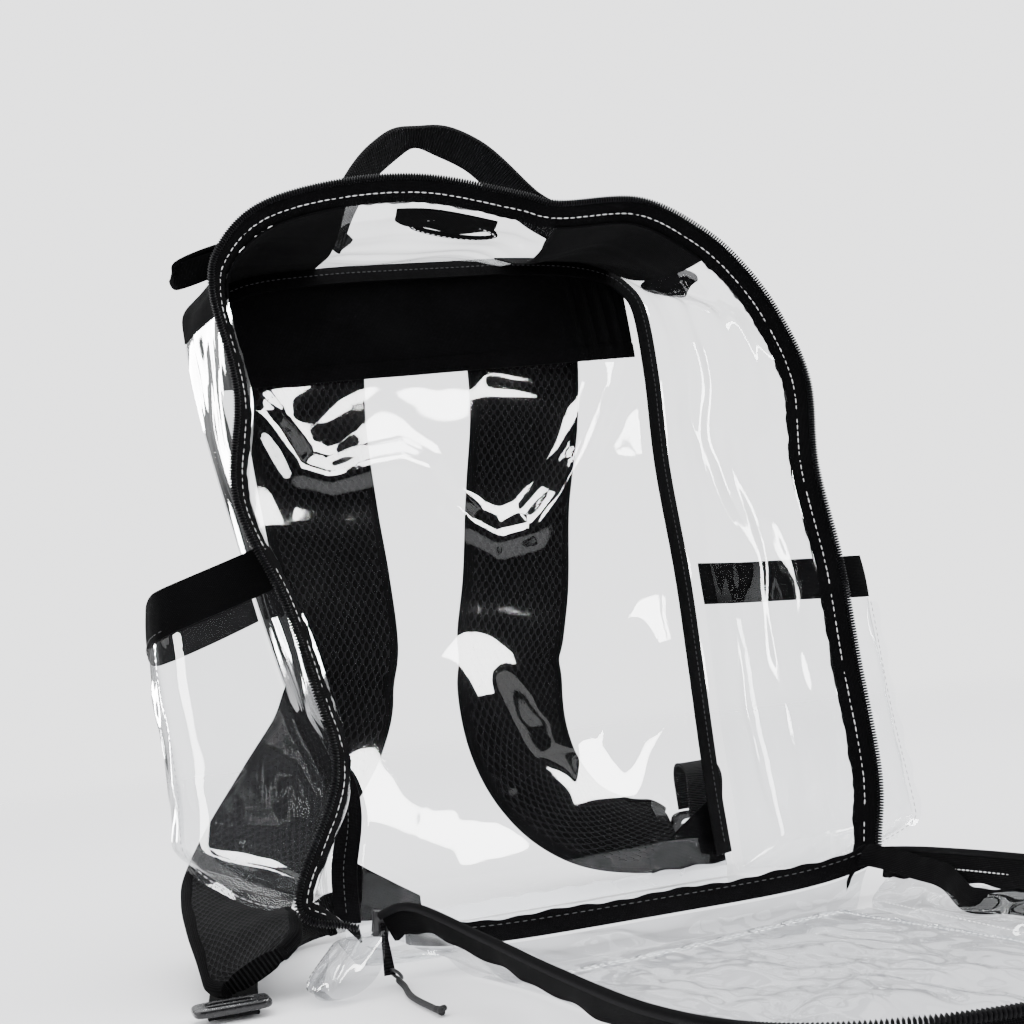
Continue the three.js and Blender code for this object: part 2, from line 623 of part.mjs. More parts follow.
for (const [side, p] of Object.entries(POCKETS)) {
  const edge = p.mouth - POCKET_BAND;
  const heights = (v) => mix(p.foot, edge, v ** 1.5);
  addPart(body, `pocket_${side}`, sheet((u, v) => pocketSurface(p, u, heights(v)), 16, 8, FILM), 'film');
  const band = (u, v) => pocketSurface(p, u, mix(edge + 0.7, p.mouth, v));
  addPart(body, `pocket_${side}_band`, sheet(band, 16, 1, CLOTH), 'cloth');
}

// Shoulder straps: padded, creased once across, sewn outside the yoke at the top.
function behind(row) {
  const up = row.up * BODY_HEIGHT;
  const p = bodyPoint(row.side * BODY_WIDTH, up, 1);
  p.y += row.out;
  p.z = up;
  return p;
}
const asVector = (list) => new THREE.Vector3(...list);

for (const [side, rows] of Object.entries(STRAPS)) {
  const frames = framesAlong(rows.map(behind), rows.map((r) => asVector(r.faces)), 30);
  const crease = side === 'left' ? 0.40 : 0.50;
  for (const f of frames) {
    f.scale = 1 - 0.05 * Math.exp(-(((f.t - crease) / 0.03) ** 2)) - 0.1 * clamp((f.t - 0.1) / 0.2, 0, 1);
    f.scale -= 0.1 * clamp((f.t - 0.5) / 0.2, 0, 1);
    if (side === 'left') f.scale -= 0.16 * clamp((f.t - 0.7) / 0.3, 0, 1);
    f.scale -= 0.1 * clamp((f.t - 0.95) / 0.05, 0, 1);
  }
  addPart(model, `strap_${side}`, sweep(frames, padSection(STRAP_WIDTH, STRAP_THICKNESS, 9)), 'mesh');
}

for (const [side, rows] of Object.entries(WEBBINGS)) {
  const frames = framesAlong(rows.map(behind), rows.map((r) => asVector(r.faces)), 20);
  const section = flatSection(WEBBING_WIDTH, WEBBING_THICKNESS);
  addPart(model, `webbing_${side}`, sweep(frames, section), 'webbing');
}

// Cloth corner tabs on the outside of the back panel, where the webbing is sewn in.
for (const sign of [-1, 1]) {
  const name = sign < 0 ? 'strap_tab_left' : 'strap_tab_right';
  const edge = sign < 0 ? backLine(0).x + 3 : backLine(23).x - 3;
  const place = (u, v) => {
    const p = bodyPoint(edge - sign * u * 52, 6 + v * (46 - 34 * u), 1);
    const share = (p.x - backLine(0).x) / (backLine(23).x - backLine(0).x);
    p.y = backSurface(clamp(share, 0, 1), (6 + v * (46 - 34 * u)) / 360).y + 2.0;
    return p;
  };
  addPart(model, name, sheet(place, 3, 3, CLOTH), 'cloth');
}

// The strap adjusters: rounded plastic frames that lie against the webbing.
function adjuster(name, centre, faces) {
  const outline = new THREE.Shape();
  const w = 19;
  const h = 12;
  outline.moveTo(-w + 5, -h);
  outline.lineTo(w - 5, -h);
  outline.quadraticCurveTo(w, -h, w, -h + 5);
  outline.lineTo(w, h - 5);
  outline.quadraticCurveTo(w, h, w - 5, h);
  outline.lineTo(-w + 5, h);
  outline.quadraticCurveTo(-w, h, -w, h - 5);
  outline.lineTo(-w, -h + 5);
  outline.quadraticCurveTo(-w, -h, -w + 5, -h);
  const geometry = new THREE.ExtrudeGeometry(outline, { depth: 4, bevelEnabled: false, curveSegments: 3 });
  geometry.translate(0, 0, -2);
  geometry.deleteAttribute('uv');
  const mesh = addPart(model, name, geometry, 'plastic');
  mesh.position.copy(centre);
  mesh.lookAt(centre.clone().add(faces));
}
const ADJUSTERS = {
  left: { side: -0.6485, out: -179.8, up: 0.0135, faces: [0, 0, 1] },
  right: { side: 0.4097, out: 59.9, up: 0.0665, faces: [0, 0.9, 0.5] },
};
for (const [side, row] of Object.entries(ADJUSTERS)) {
  adjuster(`adjuster_${side}`, behind(row), asVector(row.faces));
}

// The carrying loop, its feet sewn to the black corners half way back.
function handleFrames() {
  const points = HANDLE.map((r) => {
    const side = r.side * BODY_WIDTH;
    const ground = wallPoint(seamRowAtSide(side, 8, 17), 0.5);
    return new THREE.Vector3(side, ground.y + r.ahead, ground.z + r.rise);
  });
  const middle = new THREE.Vector3((points[0].x + points[8].x) / 2, points[4].y, points[0].z + 22);
  const faces = points.map((p) => p.clone().sub(middle).setY(0).normalize());
  return framesAlong(points, faces, 22);
}
addPart(body, 'grab_handle', sweep(handleFrames(), flatSection(HANDLE_WIDTH, 3)), 'webbing');

// Cloth loops on both upper sides, each a strip folded back on itself.
function sideLoop(name, root, reach, fall, twist) {
  const points = [];
  const faces = [];
  for (let i = 0; i <= 14; i++) {
    const a = Math.PI * 2 * (i / 14) * 0.94 + Math.PI * 0.06;
    const swing = (1 - Math.cos(a)) / 2;
    points.push(root.clone().add(new THREE.Vector3(reach * swing, 0, fall * swing + Math.sin(a) * LOOP_BULGE)));
    faces.push(new THREE.Vector3(Math.sign(reach) * -Math.cos(a), twist * Math.sin(a), Math.sin(a)));
  }
  addPart(body, name, sweep(framesAlong(points, faces, 18), flatSection(LOOP_WIDTH, 1.5)), 'cloth');
}
const leftRoot = wallPoint(8.0, 0.5);
sideLoop('loop_left', leftRoot.add(new THREE.Vector3(-3.9, 0, 2.5)), -36, -8, 0.2);
const rightRoot = wallPoint(15.95, 0.8);
sideLoop('loop_right', rightRoot.add(new THREE.Vector3(6.9, 0, 4.6)), 34, -6, 0.3);

// The earphone port on the clear top: a slit in a stitched ring, under a cloth flap.
function portSurface(u, v) {
  const a = v * Math.PI * 2;
  const row = 11.4 + 0.52 * Math.cos(a) * mix(0.86, 1, u);
  const p = wallPoint(row, 0.19 + 0.1 * Math.sin(a) * mix(0.62, 1, u));
  p.z += 2.5;
  return p;
}
addPart(body, 'port_ring', sheet(portSurface, 1, 24, CLOTH, true), 'cloth');

function flapSurface(u, v) {
  const narrow = Math.sqrt(Math.sin(Math.PI * mix(0.06, 0.94, v)));
  const p = wallPoint(11.24 + 1.16 * (v - 0.5), mix(0.04, 0.04 + 0.17 * narrow, u));
  p.z += 1.9 + 4.4 * Math.min(1, u * 2.2);
  return p;
}
addPart(body, 'port_flap', sheet(flapSurface, 2, 8, CLOTH), 'cloth');

// The slider, parked at the rim's left end. Its pull hangs down to the floor:
// a tapered tab, a small ring and a cord.
const slider = new THREE.Group();
slider.name = 'slider_group';
slider.position.set(-0.403 * BODY_WIDTH, HINGE_Y - 5, HINGE_HEIGHT + 6);
body.add(slider);
const sliderBody = new THREE.BoxGeometry(8, 6, 13);
addPart(slider, 'slider', sliderBody, 'metal').rotation.set(0, 0.2, 0);
const TAB_LENGTH = 26;
const tab = new THREE.CylinderGeometry(2, 4.4, TAB_LENGTH, 4, 1);
tab.rotateY(Math.PI / 4);
tab.scale(1, 1, 0.42);
tab.rotateX(Math.PI / 2);
const tabMesh = addPart(slider, 'pull_tab', tab, 'webbing');
tabMesh.position.set(0, -4.6, -TAB_LENGTH / 2 + 1);
const ring = new THREE.TorusGeometry(3.4, 0.9, 6, 14);
ring.rotateY(0.9);
ring.rotateZ(0.4);
addPart(slider, 'pull_ring', ring, 'metal').position.set(3, -10.6, -24.5);
const CORD_PATH = [
  { side: 3, ahead: 14.5, up: 3 },
  { side: 3, ahead: 28, up: 2.0 },
  { side: 0, ahead: 60, up: 2.0 },
  { side: 3, ahead: 105, up: 2.0 },
];
const cordPoints = CORD_PATH.map((r) => new THREE.Vector3(
  slider.position.x + r.side, slider.position.y - r.ahead, r.up));
const cordFrames = framesAlong(cordPoints, cordPoints.map(() => new THREE.Vector3(0, 0, 1)), 10);
addPart(model, 'pull_cord', sweep(cordFrames, roundSection(1.6, 6)), 'webbing');

export default model;
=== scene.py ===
import math

import bpy
import numpy as np
from mathutils import Matrix, Vector


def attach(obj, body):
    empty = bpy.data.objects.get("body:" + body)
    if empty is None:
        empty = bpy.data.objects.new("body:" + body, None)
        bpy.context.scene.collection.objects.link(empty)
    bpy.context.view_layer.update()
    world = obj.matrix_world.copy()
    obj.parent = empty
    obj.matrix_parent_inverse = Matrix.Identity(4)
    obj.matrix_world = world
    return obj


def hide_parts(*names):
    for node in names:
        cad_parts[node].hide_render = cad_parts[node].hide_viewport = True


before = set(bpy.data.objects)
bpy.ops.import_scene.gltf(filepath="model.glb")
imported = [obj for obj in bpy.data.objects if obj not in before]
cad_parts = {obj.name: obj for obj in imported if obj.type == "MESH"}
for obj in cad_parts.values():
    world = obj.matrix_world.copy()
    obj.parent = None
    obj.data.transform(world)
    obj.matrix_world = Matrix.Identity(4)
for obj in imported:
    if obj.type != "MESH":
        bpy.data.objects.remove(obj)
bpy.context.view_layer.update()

# Studio. The bag stands on a pale floor in soft light, seen from low down at its left,
# so close that the folded-down front runs out of the picture.
EYE = Vector((-0.298, -0.939, 0.154))
TURN = math.radians(17)
LIFT = math.radians(5.1)
ROLL = math.radians(7)
ahead = Vector((math.sin(TURN) * math.cos(LIFT), math.cos(TURN) * math.cos(LIFT), math.sin(LIFT)))
level = Vector((math.cos(TURN), -math.sin(TURN), 0))
upward = level.cross(ahead)
picture_right = level * math.cos(ROLL) - upward * math.sin(ROLL)
picture_up = level * math.sin(ROLL) + upward * math.cos(ROLL)
camera = bpy.data.objects.new("camera", bpy.data.cameras.new("camera"))
bpy.context.scene.collection.objects.link(camera)
camera.data.lens = 58.6
camera.data.sensor_width = 36
camera.data.clip_start = 0.01
camera.matrix_world = (Matrix.Translation(EYE)
                       @ Matrix((picture_right, picture_up, -ahead)).transposed().to_4x4())
bpy.context.scene.camera = camera


def soft_box(name, place, target, width, height, power, diffuse=True):
    """A soft light that faces its target."""
    lamp = bpy.data.lights.new(name, "AREA")
    lamp.shape = "RECTANGLE"
    lamp.size = width
    lamp.size_y = height
    lamp.energy = power
    box = bpy.data.objects.new(name, lamp)
    bpy.context.scene.collection.objects.link(box)
    box.location = place
    box.rotation_euler = (Vector(target) - Vector(place)).to_track_quat("-Z", "Y").to_euler()
    box.visible_camera = False
    box.visible_diffuse = diffuse
    return box


soft_box("overhead_light", (0.1, 0.1, 2.4), (0, -0.05, 0.1), 2.6, 2.4, 44)
soft_box("left_light", (-2.0, -0.7, 1.3), (0, 0, 0.2), 1.2, 1.4, 14)
soft_box("right_light", (1.9, -1.1, 1.2), (0, 0, 0.2), 1.2, 1.4, 14)
# Four lights shine on the clear pieces alone, as flags keep them off the black cloth.
clear_pieces = bpy.data.collections.new("clear_pieces")
for gleam in (
    soft_box("gleam_front", (0.55, -1.35, 1.45), (0, 0.05, 0.25), 0.9, 0.8, 270, diffuse=False),
    soft_box("gleam_top", (0.54, -0.79, 1.95), (0, 0.1, 0.25), 2.4, 0.6, 500, diffuse=False),
    soft_box("gleam_left", (-0.95, -1.25, 0.35), (-0.18, 0, 0.15), 0.45, 0.6, 70, diffuse=False),
    soft_box("gleam_back", (-0.75, 1.75, 0.6), (0.16, 0, 0.2), 0.3, 1.3, 60, diffuse=False),
):
    gleam.light_linking.receiver_collection = clear_pieces

world = bpy.data.worlds.new("studio")
bpy.context.scene.world = world
world.use_nodes = True
net = world.node_tree
net.nodes.clear()
way = net.nodes.new("ShaderNodeTexCoord")
split = net.nodes.new("ShaderNodeSeparateXYZ")
net.links.new(way.outputs["Generated"], split.inputs[0])
shades = []
for axis, first, last, dark, bright in (("Y", -0.3, 0.3, 0.03, 1.0), ("Z", 0.02, 0.6, 0.08, 2.6)):
    shade = net.nodes.new("ShaderNodeMapRange")
    shade.inputs["From Min"].default_value = first
    shade.inputs["From Max"].default_value = last
    shade.inputs["To Min"].default_value = dark
    shade.inputs["To Max"].default_value = bright
    net.links.new(split.outputs[axis], shade.inputs["Value"])
    shades.append(shade)
studio_shade = net.nodes.new("ShaderNodeMath")
studio_shade.operation = "MULTIPLY"
net.links.new(shades[0].outputs[0], studio_shade.inputs[0])
net.links.new(shades[1].outputs[0], studio_shade.inputs[1])
mirrored = net.nodes.new("ShaderNodeBackground")
net.links.new(studio_shade.outputs[0], mirrored.inputs["Strength"])
mirrored.inputs["Color"].default_value = (0.97, 0.985, 1.0, 1)
seen = net.nodes.new("ShaderNodeBackground")
seen.inputs["Color"].default_value = (0.79, 0.79, 0.80, 1)
seen.inputs["Strength"].default_value = 3.3
rays = net.nodes.new("ShaderNodeLightPath")
blend = net.nodes.new("ShaderNodeMixShader")
net.links.new(rays.outputs["Is Glossy Ray"], blend.inputs[0])
net.links.new(seen.outputs[0], blend.inputs[1])
net.links.new(mirrored.outputs[0], blend.inputs[2])
out = net.nodes.new("ShaderNodeOutputWorld")
net.links.new(blend.outputs[0], out.inputs[0])

floor_mesh = bpy.data.meshes.new("studio_floor")
ring = [(4 * math.cos(math.tau * k / 96), 4 * math.sin(math.tau * k / 96), -0.0004) for k in range(96)]
floor_mesh.from_pydata(ring, [], [list(range(96))])
floor = bpy.data.objects.new("studio_floor", floor_mesh)
bpy.context.scene.collection.objects.link(floor)
paper = bpy.data.materials.new("floor_paper")
paper.use_nodes = True
net = paper.node_tree
skin = net.nodes["Principled BSDF"]
skin.inputs["Base Color"].default_value = (0.80, 0.80, 0.81, 1)
skin.inputs["Roughness"].default_value = 0.75
skin.inputs["Specular IOR Level"].default_value = 0.2
place = net.nodes.new("ShaderNodeTexCoord")
reach = net.nodes.new("ShaderNodeVectorMath")
reach.operation = "LENGTH"
net.links.new(place.outputs["Object"], reach.inputs[0])
fade = net.nodes.new("ShaderNodeMapRange")
fade.interpolation_type = "SMOOTHSTEP"
fade.inputs["From Min"].default_value = 1.0
fade.inputs["From Max"].default_value = 3.4
net.links.new(reach.outputs["Value"], fade.inputs["Value"])
clear = net.nodes.new("ShaderNodeBsdfTransparent")
mix = net.nodes.new("ShaderNodeMixShader")
net.links.new(fade.outputs[0], mix.inputs[0])
net.links.new(skin.outputs[0], mix.inputs[1])
net.links.new(clear.outputs[0], mix.inputs[2])
net.links.new(mix.outputs[0], net.nodes["Material Output"].inputs["Surface"])
floor_mesh.materials.append(paper)

# Bottom panel. Clear soft vinyl, sewn to the walls and the back, flat on the floor at the back
# and raised to the hinge in front, where its left corner swells out.
WIDTH = 0.330
HEIGHT = 0.430
DEPTH = 0.150
LEAN = 0.144
HINGE_HEIGHT = 0.024
HINGE_RISE = 0.009
FLOOR_GAP = 0.0006
HINGE_Y = -DEPTH / 2 - 0.004
VINYL_TINT = (0.955, 0.962, 0.968, 1)
FILM_SHEEN = 0.032

# The rim of the zip opening and the seam round the back, from the left foot over the top to the
# right foot: rim side, rim up, back side and back up, as shares of the width and height.
SEAMS = np.array([
    (-0.432, 0.010, -0.397, 0.000), (-0.522, 0.048, -0.391, 0.093),
    (-0.436, 0.191, -0.367, 0.195), (-0.450, 0.301, -0.415, 0.319),
    (-0.481, 0.417, -0.448, 0.437), (-0.537, 0.553, -0.490, 0.610),
    (-0.513, 0.693, -0.524, 0.782), (-0.532, 0.834, -0.533, 0.893),
    (-0.505, 0.898, -0.519, 0.951), (-0.425, 0.951, -0.412, 0.993),
    (-0.279, 0.979, -0.258, 1.005), (-0.124, 0.981, -0.106, 1.007),
    (0.039, 0.951, 0.039, 1.007), (0.112, 0.935, 0.121, 1.007),
    (0.270, 0.935, 0.258, 1.000), (0.382, 0.885, 0.348, 0.984),
    (0.451, 0.824, 0.403, 0.956), (0.500, 0.748, 0.437, 0.906),
    (0.529, 0.652, 0.438, 0.790), (0.510, 0.529, 0.424, 0.639),
    (0.518, 0.391, 0.423, 0.464), (0.512, 0.256, 0.415, 0.324),
    (0.506, 0.098, 0.403, 0.140), (0.476, 0.005, 0.400, 0.000),
])
TAPE_INSET = 0.010
RIM_DEPTH = 0.075
SEAM_DEPTH = 0.992


def smooth_line(points, at):
    """Points on a smooth line through the given ones; at counts them from 0."""
    p = np.asarray(points, float)
    p = np.vstack([2 * p[0] - p[1], p, 2 * p[-1] - p[-2]])
    at = np.clip(np.asarray(at, float), 0, len(points) - 1)
    k = np.minimum(at.astype(int), len(points) - 2)
    t = (at - k)[..., None]
    a, b, c, d = p[k], p[k + 1], p[k + 2], p[k + 3]
    straight = 2 * b + (c - a) * t
    bent = (2 * a - 5 * b + 4 * c - d) * t ** 2
    return 0.5 * (straight + bent + (3 * b - a - 3 * c + d) * t ** 3)


def body_point(side, up, depth):
    """A point of the leaning body: depth is 0 at the rim and 1 at the back."""
    foot = HINGE_HEIGHT + (0.0012 - HINGE_HEIGHT) * np.clip(depth * 1.25, 0, 1)
    return np.stack([side, (depth - 0.5) * DEPTH + LEAN * up, foot + 0.99 * up + 0 * side], -1)


def seam_point(columns, row, inset, depth):
    """A point of the rim or the back seam, moved in from the edge by inset."""
    row, inset, depth = np.broadcast_arrays(np.asarray(row, float), inset, depth)
    line = SEAMS[:, columns] * (WIDTH, HEIGHT)
    at = smooth_line(line, row)
    step = smooth_line(line, np.minimum(row + 0.1, 23)) - smooth_line(line, np.maximum(row - 0.1, 0))
    step /= np.linalg.norm(step, axis=-1, keepdims=True)
    side = at[..., 0] + step[..., 1] * inset
    up = np.maximum(at[..., 1] - step[..., 0] * inset, 0)
    return body_point(side, up, depth)


def rim_point(row, inset, depth):
    return seam_point([0, 1], row, inset, depth)


def back_point(row, inset, depth):
    return seam_point([2, 3], row, inset, depth)


def seam_out(row):
    """The way out of the bag, square to the back seam."""
    line = SEAMS[:, [2, 3]] * (WIDTH, HEIGHT)
    row = np.asarray(row, float)
    step = smooth_line(line, np.minimum(row + 0.1, 23)) - smooth_line(line, np.maximum(row - 0.1, 0))
    step /= np.linalg.norm(step, axis=-1, keepdims=True)
    return np.stack([-step[..., 1], 0 * row, step[..., 0]], -1)


def bottom_height(u, v):
    front = HINGE_RISE + 0.009 * np.abs(2 * u - 1) ** 6
    return FLOOR_GAP + (front - FLOOR_GAP) * np.clip(1 - v / 0.4, 0, 1) ** 1.6


def wall_point(row, share):
    """The side and top walls, from the zip tape's inner edge (share 0) to the back seam (share 1)."""
    row, share = np.broadcast_arrays(np.asarray(row, float), np.asarray(share, float))
    front = rim_point(row, TAPE_INSET, RIM_DEPTH)
    p = front + (back_point(row, 0.0, SEAM_DEPTH) - front) * share[..., None]
    belly = np.sin(np.pi * share)
    ripple = 0.0024 * np.sin(row * 2.3) * belly + 0.0016 * np.sin(row * 4.1 + share * 5) * belly
    p = p + seam_out(row) * ripple[..., None]
    top = np.clip((row - 9) / 1.5, 0, 1) * np.clip((17 - row) / 1.5, 0, 1)
    low = np.clip(1 - np.minimum(row, 23 - row) / 0.6, 0, 1) ** 2
    z = p[..., 2] - 0.009 * top * belly
    floor_z = bottom_height(np.where(row < 12, 0.0, 1.0), share) + 0.0017
    p[..., 2] = z + (floor_z - z) * low
    return p


def crumple(a, b, seed, longest, count=7):
    """Soft irregular waves over a flat (a, b) lay-out, about -1 to 1, the longest wave as named."""
    dice = np.random.default_rng(seed)
    total = 0 * (a + b)
    for k in range(count):
        size = longest * 0.82 ** k
        turn = dice.uniform(0, np.pi)
        wave = (a * np.cos(turn) + b * np.sin(turn)) * 2 * np.pi / size
        total = total + np.sin(wave + dice.uniform(0, 6.28)) * (size / longest) ** 1.5
    return total / 2.4


def fold(a, b, line, width):
    """A soft ridge along a line of (a, b) points: 1 on the line, 0 beyond its width."""
    best = np.full(np.shape(a + b), 1e9)
    for (ax, ay), (bx, by) in zip(line[:-1], line[1:]):
        run = (bx - ax) ** 2 + (by - ay) ** 2
        t = np.clip(((a - ax) * (bx - ax) + (b - ay) * (by - ay)) / run, 0, 1)
        best = np.minimum(best, (a - ax - t * (bx - ax)) ** 2 + (b - ay - t * (by - ay)) ** 2)
    return np.exp(-best / width ** 2)


def grid_piece(name, grid, thickness=0.0, wrap=False):
    """A mesh on a grid of points. With a thickness it is a closed sheet."""
    rows, columns = grid.shape[:2]
    across = np.gradient(grid, axis=1)
    along = np.gradient(grid, axis=0)
    if wrap:
        along = (np.roll(grid, -1, 0) - np.roll(grid, 1, 0)) / 2
    normal = np.cross(across, along)
    normal /= np.maximum(np.linalg.norm(normal, axis=-1, keepdims=True), 1e-12)
    layers = [grid + normal * thickness / 2, grid - normal * thickness / 2] if thickness else [grid]
    index = np.arange(rows * columns).reshape(rows, columns)
    below = np.roll(index, -1, 0) if wrap else index[1:]
    above = index if wrap else index[:-1]
    top = np.stack([above[:, :-1], above[:, 1:], below[:, 1:], below[:, :-1]], -1).reshape(-1, 4)
    faces = [top]
    if thickness:
        far = rows * columns
        faces.append(top[:, ::-1] + far)
        edges = [(above[:, 0], below[:, 0]), (below[:, -1], above[:, -1])]
        if not wrap:
            edges += [(index[0, 1:], index[0, :-1]), (index[-1, :-1], index[-1, 1:])]
        for a, b in edges:
            faces.append(np.stack([a, b, b + far, a + far], -1))
    mesh = bpy.data.meshes.new(name)
    spots = np.concatenate([layer.reshape(-1, 3) for layer in layers])
    mesh.from_pydata(spots.tolist(), [], np.concatenate(faces).tolist())
    lay_u = np.cumsum(np.linalg.norm(across, axis=-1), 1)
    lay_v = np.cumsum(np.linalg.norm(along, axis=-1), 0)
    lay = np.tile(np.stack([lay_u, lay_v], -1).reshape(-1, 2), (len(layers), 1))
    return finish_mesh(name, mesh, lay)


def finish_mesh(name, mesh, lay):
    """Smooth shading with crisp rims, and a lay-out in metres for weave and ribs."""
    sheet = mesh.uv_layers.new(name="lay")
    corners = np.empty(len(mesh.loops), np.int32)
    mesh.loops.foreach_get("vertex_index", corners)
    sheet.data.foreach_set("uv", lay[corners].astype(np.float32).ravel())
    mesh.polygons.foreach_set("use_smooth", [True] * len(mesh.polygons))
    mesh.set_sharp_from_angle(angle=math.radians(50))
    mesh.update()
    piece = bpy.data.objects.new(name, mesh)
    bpy.context.scene.collection.objects.link(piece)
    return piece


def join_in(piece, material, slot, *nodes):
    """Gives a piece its material, fixes it to the bag and hides the solids it stands for; a film piece joins
    the clear pieces that the gleam lights reach.
    """
    piece.data.materials.append(material)
    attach(piece, "root")
    if nodes:
        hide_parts(*nodes)
    if slot == "film":
        clear_pieces.objects.link(piece)
    return piece


def vinyl(name, haze, wrinkle, tint=VINYL_TINT):
    """Clear soft vinyl: see-through, with a gloss that grows at a slant and a slight milky haze."""
    made = bpy.data.materials.new(name)
    made.use_nodes = True
    net = made.node_tree
    net.nodes.clear()
    where = net.nodes.new("ShaderNodeTexCoord")
    swell = net.nodes.new("ShaderNodeTexNoise")
    swell.inputs["Scale"].default_value = 16
    swell.inputs["Detail"].default_value = 1.0
    swell.inputs["Roughness"].default_value = 0.45
    swell.inputs["Distortion"].default_value = 0.6
    net.links.new(where.outputs["Object"], swell.inputs["Vector"])
    relief = net.nodes.new("ShaderNodeBump")
    relief.inputs["Strength"].default_value = 1.0
    relief.inputs["Distance"].default_value = wrinkle
    net.links.new(swell.outputs["Fac"], relief.inputs["Height"])
    gloss = net.nodes.new("ShaderNodeBsdfGlossy")
    gloss.inputs["Roughness"].default_value = 0.045
    gloss.inputs["Color"].default_value = (1, 1, 1, 1)
    net.links.new(relief.outputs[0], gloss.inputs["Normal"])
    through = net.nodes.new("ShaderNodeBsdfTransparent")
    through.inputs["Color"].default_value = tint
    milk = net.nodes.new("ShaderNodeBsdfDiffuse")
    milk.inputs["Color"].default_value = (0.85, 0.86, 0.88, 1)
    slant = net.nodes.new("ShaderNodeLayerWeight")
    slant.inputs["Blend"].default_value = 0.5
    net.links.new(relief.outputs[0], slant.inputs["Normal"])
    steep = net.nodes.new("ShaderNodeMath")
    steep.operation = "POWER"
    steep.inputs[1].default_value = 4.5
    net.links.new(slant.outputs["Facing"], steep.inputs[0])
    share = net.nodes.new("ShaderNodeMath")
    share.operation = "MULTIPLY_ADD"
    share.inputs[1].default_value = 0.75
    share.inputs[2].default_value = FILM_SHEEN
    net.links.new(steep.outputs[0], share.inputs[0])
    cloud = net.nodes.new("ShaderNodeMapRange")
    cloud.inputs["To Min"].default_value = haze * 0.6
    cloud.inputs["To Max"].default_value = haze * 1.5
    net.links.new(swell.outputs["Fac"], cloud.inputs["Value"])
    body = net.nodes.new("ShaderNodeMixShader")
    net.links.new(cloud.outputs[0], body.inputs[0])
    net.links.new(through.outputs[0], body.inputs[1])
    net.links.new(milk.outputs[0], body.inputs[2])
    whole = net.nodes.new("ShaderNodeMixShader")
    net.links.new(share.outputs[0], whole.inputs[0])
    net.links.new(body.outputs[0], whole.inputs[1])
    net.links.new(gloss.outputs[0], whole.inputs[2])
    end = net.nodes.new("ShaderNodeOutputMaterial")
    net.links.new(whole.outputs[0], end.inputs["Surface"])
    return made


def mesh_grid(rows, columns):
    """The u and v of a grid: u across, v along."""
    return np.meshgrid(np.linspace(0, 1, columns), np.linspace(0, 1, rows))


clear_vinyl = vinyl("clear_vinyl", 0.0015, 0.0028)

u, v = mesh_grid(50, 70)
left_edge = wall_point(0.02, 0.0)[0]
right_edge = wall_point(22.98, 0.0)[0]
back_left = SEAMS[0, 2] * WIDTH + 0.0009
back_right = SEAMS[-1, 2] * WIDTH - 0.0009
swell = np.exp(-(((u - 0.05) / 0.13) ** 2)) * np.sin(np.pi * np.sqrt(np.clip(v / 0.4, 0, 1)))
x = (left_edge + (back_left - left_edge) * v) * (1 - u) + (right_edge + (back_right - right_edge) * v) * u
y = (-DEPTH / 2 + 0.004) * (1 - v) + (DEPTH / 2 - 0.0009) * v
y -= 0.028 * swell * (1 + 0.10 * np.sin(u * 60 + v * 9))
edge = np.sin(np.pi * u) * np.sin(np.pi * v)
z = bottom_height(u, v) + 0.0012 * edge * (1 + crumple(x, y, 3, 0.09))
z += 0.004 * swell * np.sin(v * 40 + u * 9) ** 2
bottom = grid_piece("bottom_vinyl", np.stack([x, y, z], -1))
join_in(bottom, clear_vinyl, "film", "bottom_panel")

# Side walls and the clear window in the top. The same vinyl, sewn to the zip tape in front and
# to the back seam behind; it stands in soft waves, and pinches in above the left foot.
def wall_piece(name, first, last, rows, seed, depth, material, slot, node, thickness=0.0):
    u, v = mesh_grid(rows, 60)
    row = first + 0.007 + (last - first - 0.014) * v
    p = wall_point(row, u)
    free = np.sin(np.pi * u) ** 0.7 * np.clip(np.minimum(v, 1 - v) * 12, 0, 1)
    wave = crumple(p[..., 1], p[..., 2], seed, 0.10) * depth * free
    streak = crumple(p[..., 1] * 2.6, p[..., 2] * 0.5, seed + 1, 0.07) * depth * 0.45 * free
    p = p + seam_out(row) * (wave + streak)[..., None]
    return join_in(grid_piece(name, p, thickness), material, slot, node)


wall_vinyl = vinyl("wall_vinyl", 0.0015, 0.0005)
wall_piece("left_wall_vinyl", 0.02, 7, 200, 11, 0.0013, wall_vinyl, "film", "gusset_left")
wall_piece("top_window_vinyl", 10, 13, 90, 12, 0.0016, wall_vinyl, "film", "gusset_top")
wall_piece("right_wall_vinyl", 15.3, 22.98, 200, 13, 0.0022, wall_vinyl, "film", "gusset_right")

# Black corners of the top. Plain woven polyester, sewn between the side walls and the clear window
# and doubled back along the seams.
CLOTH_BLACK = (0.0012, 0.0012, 0.0013, 1)


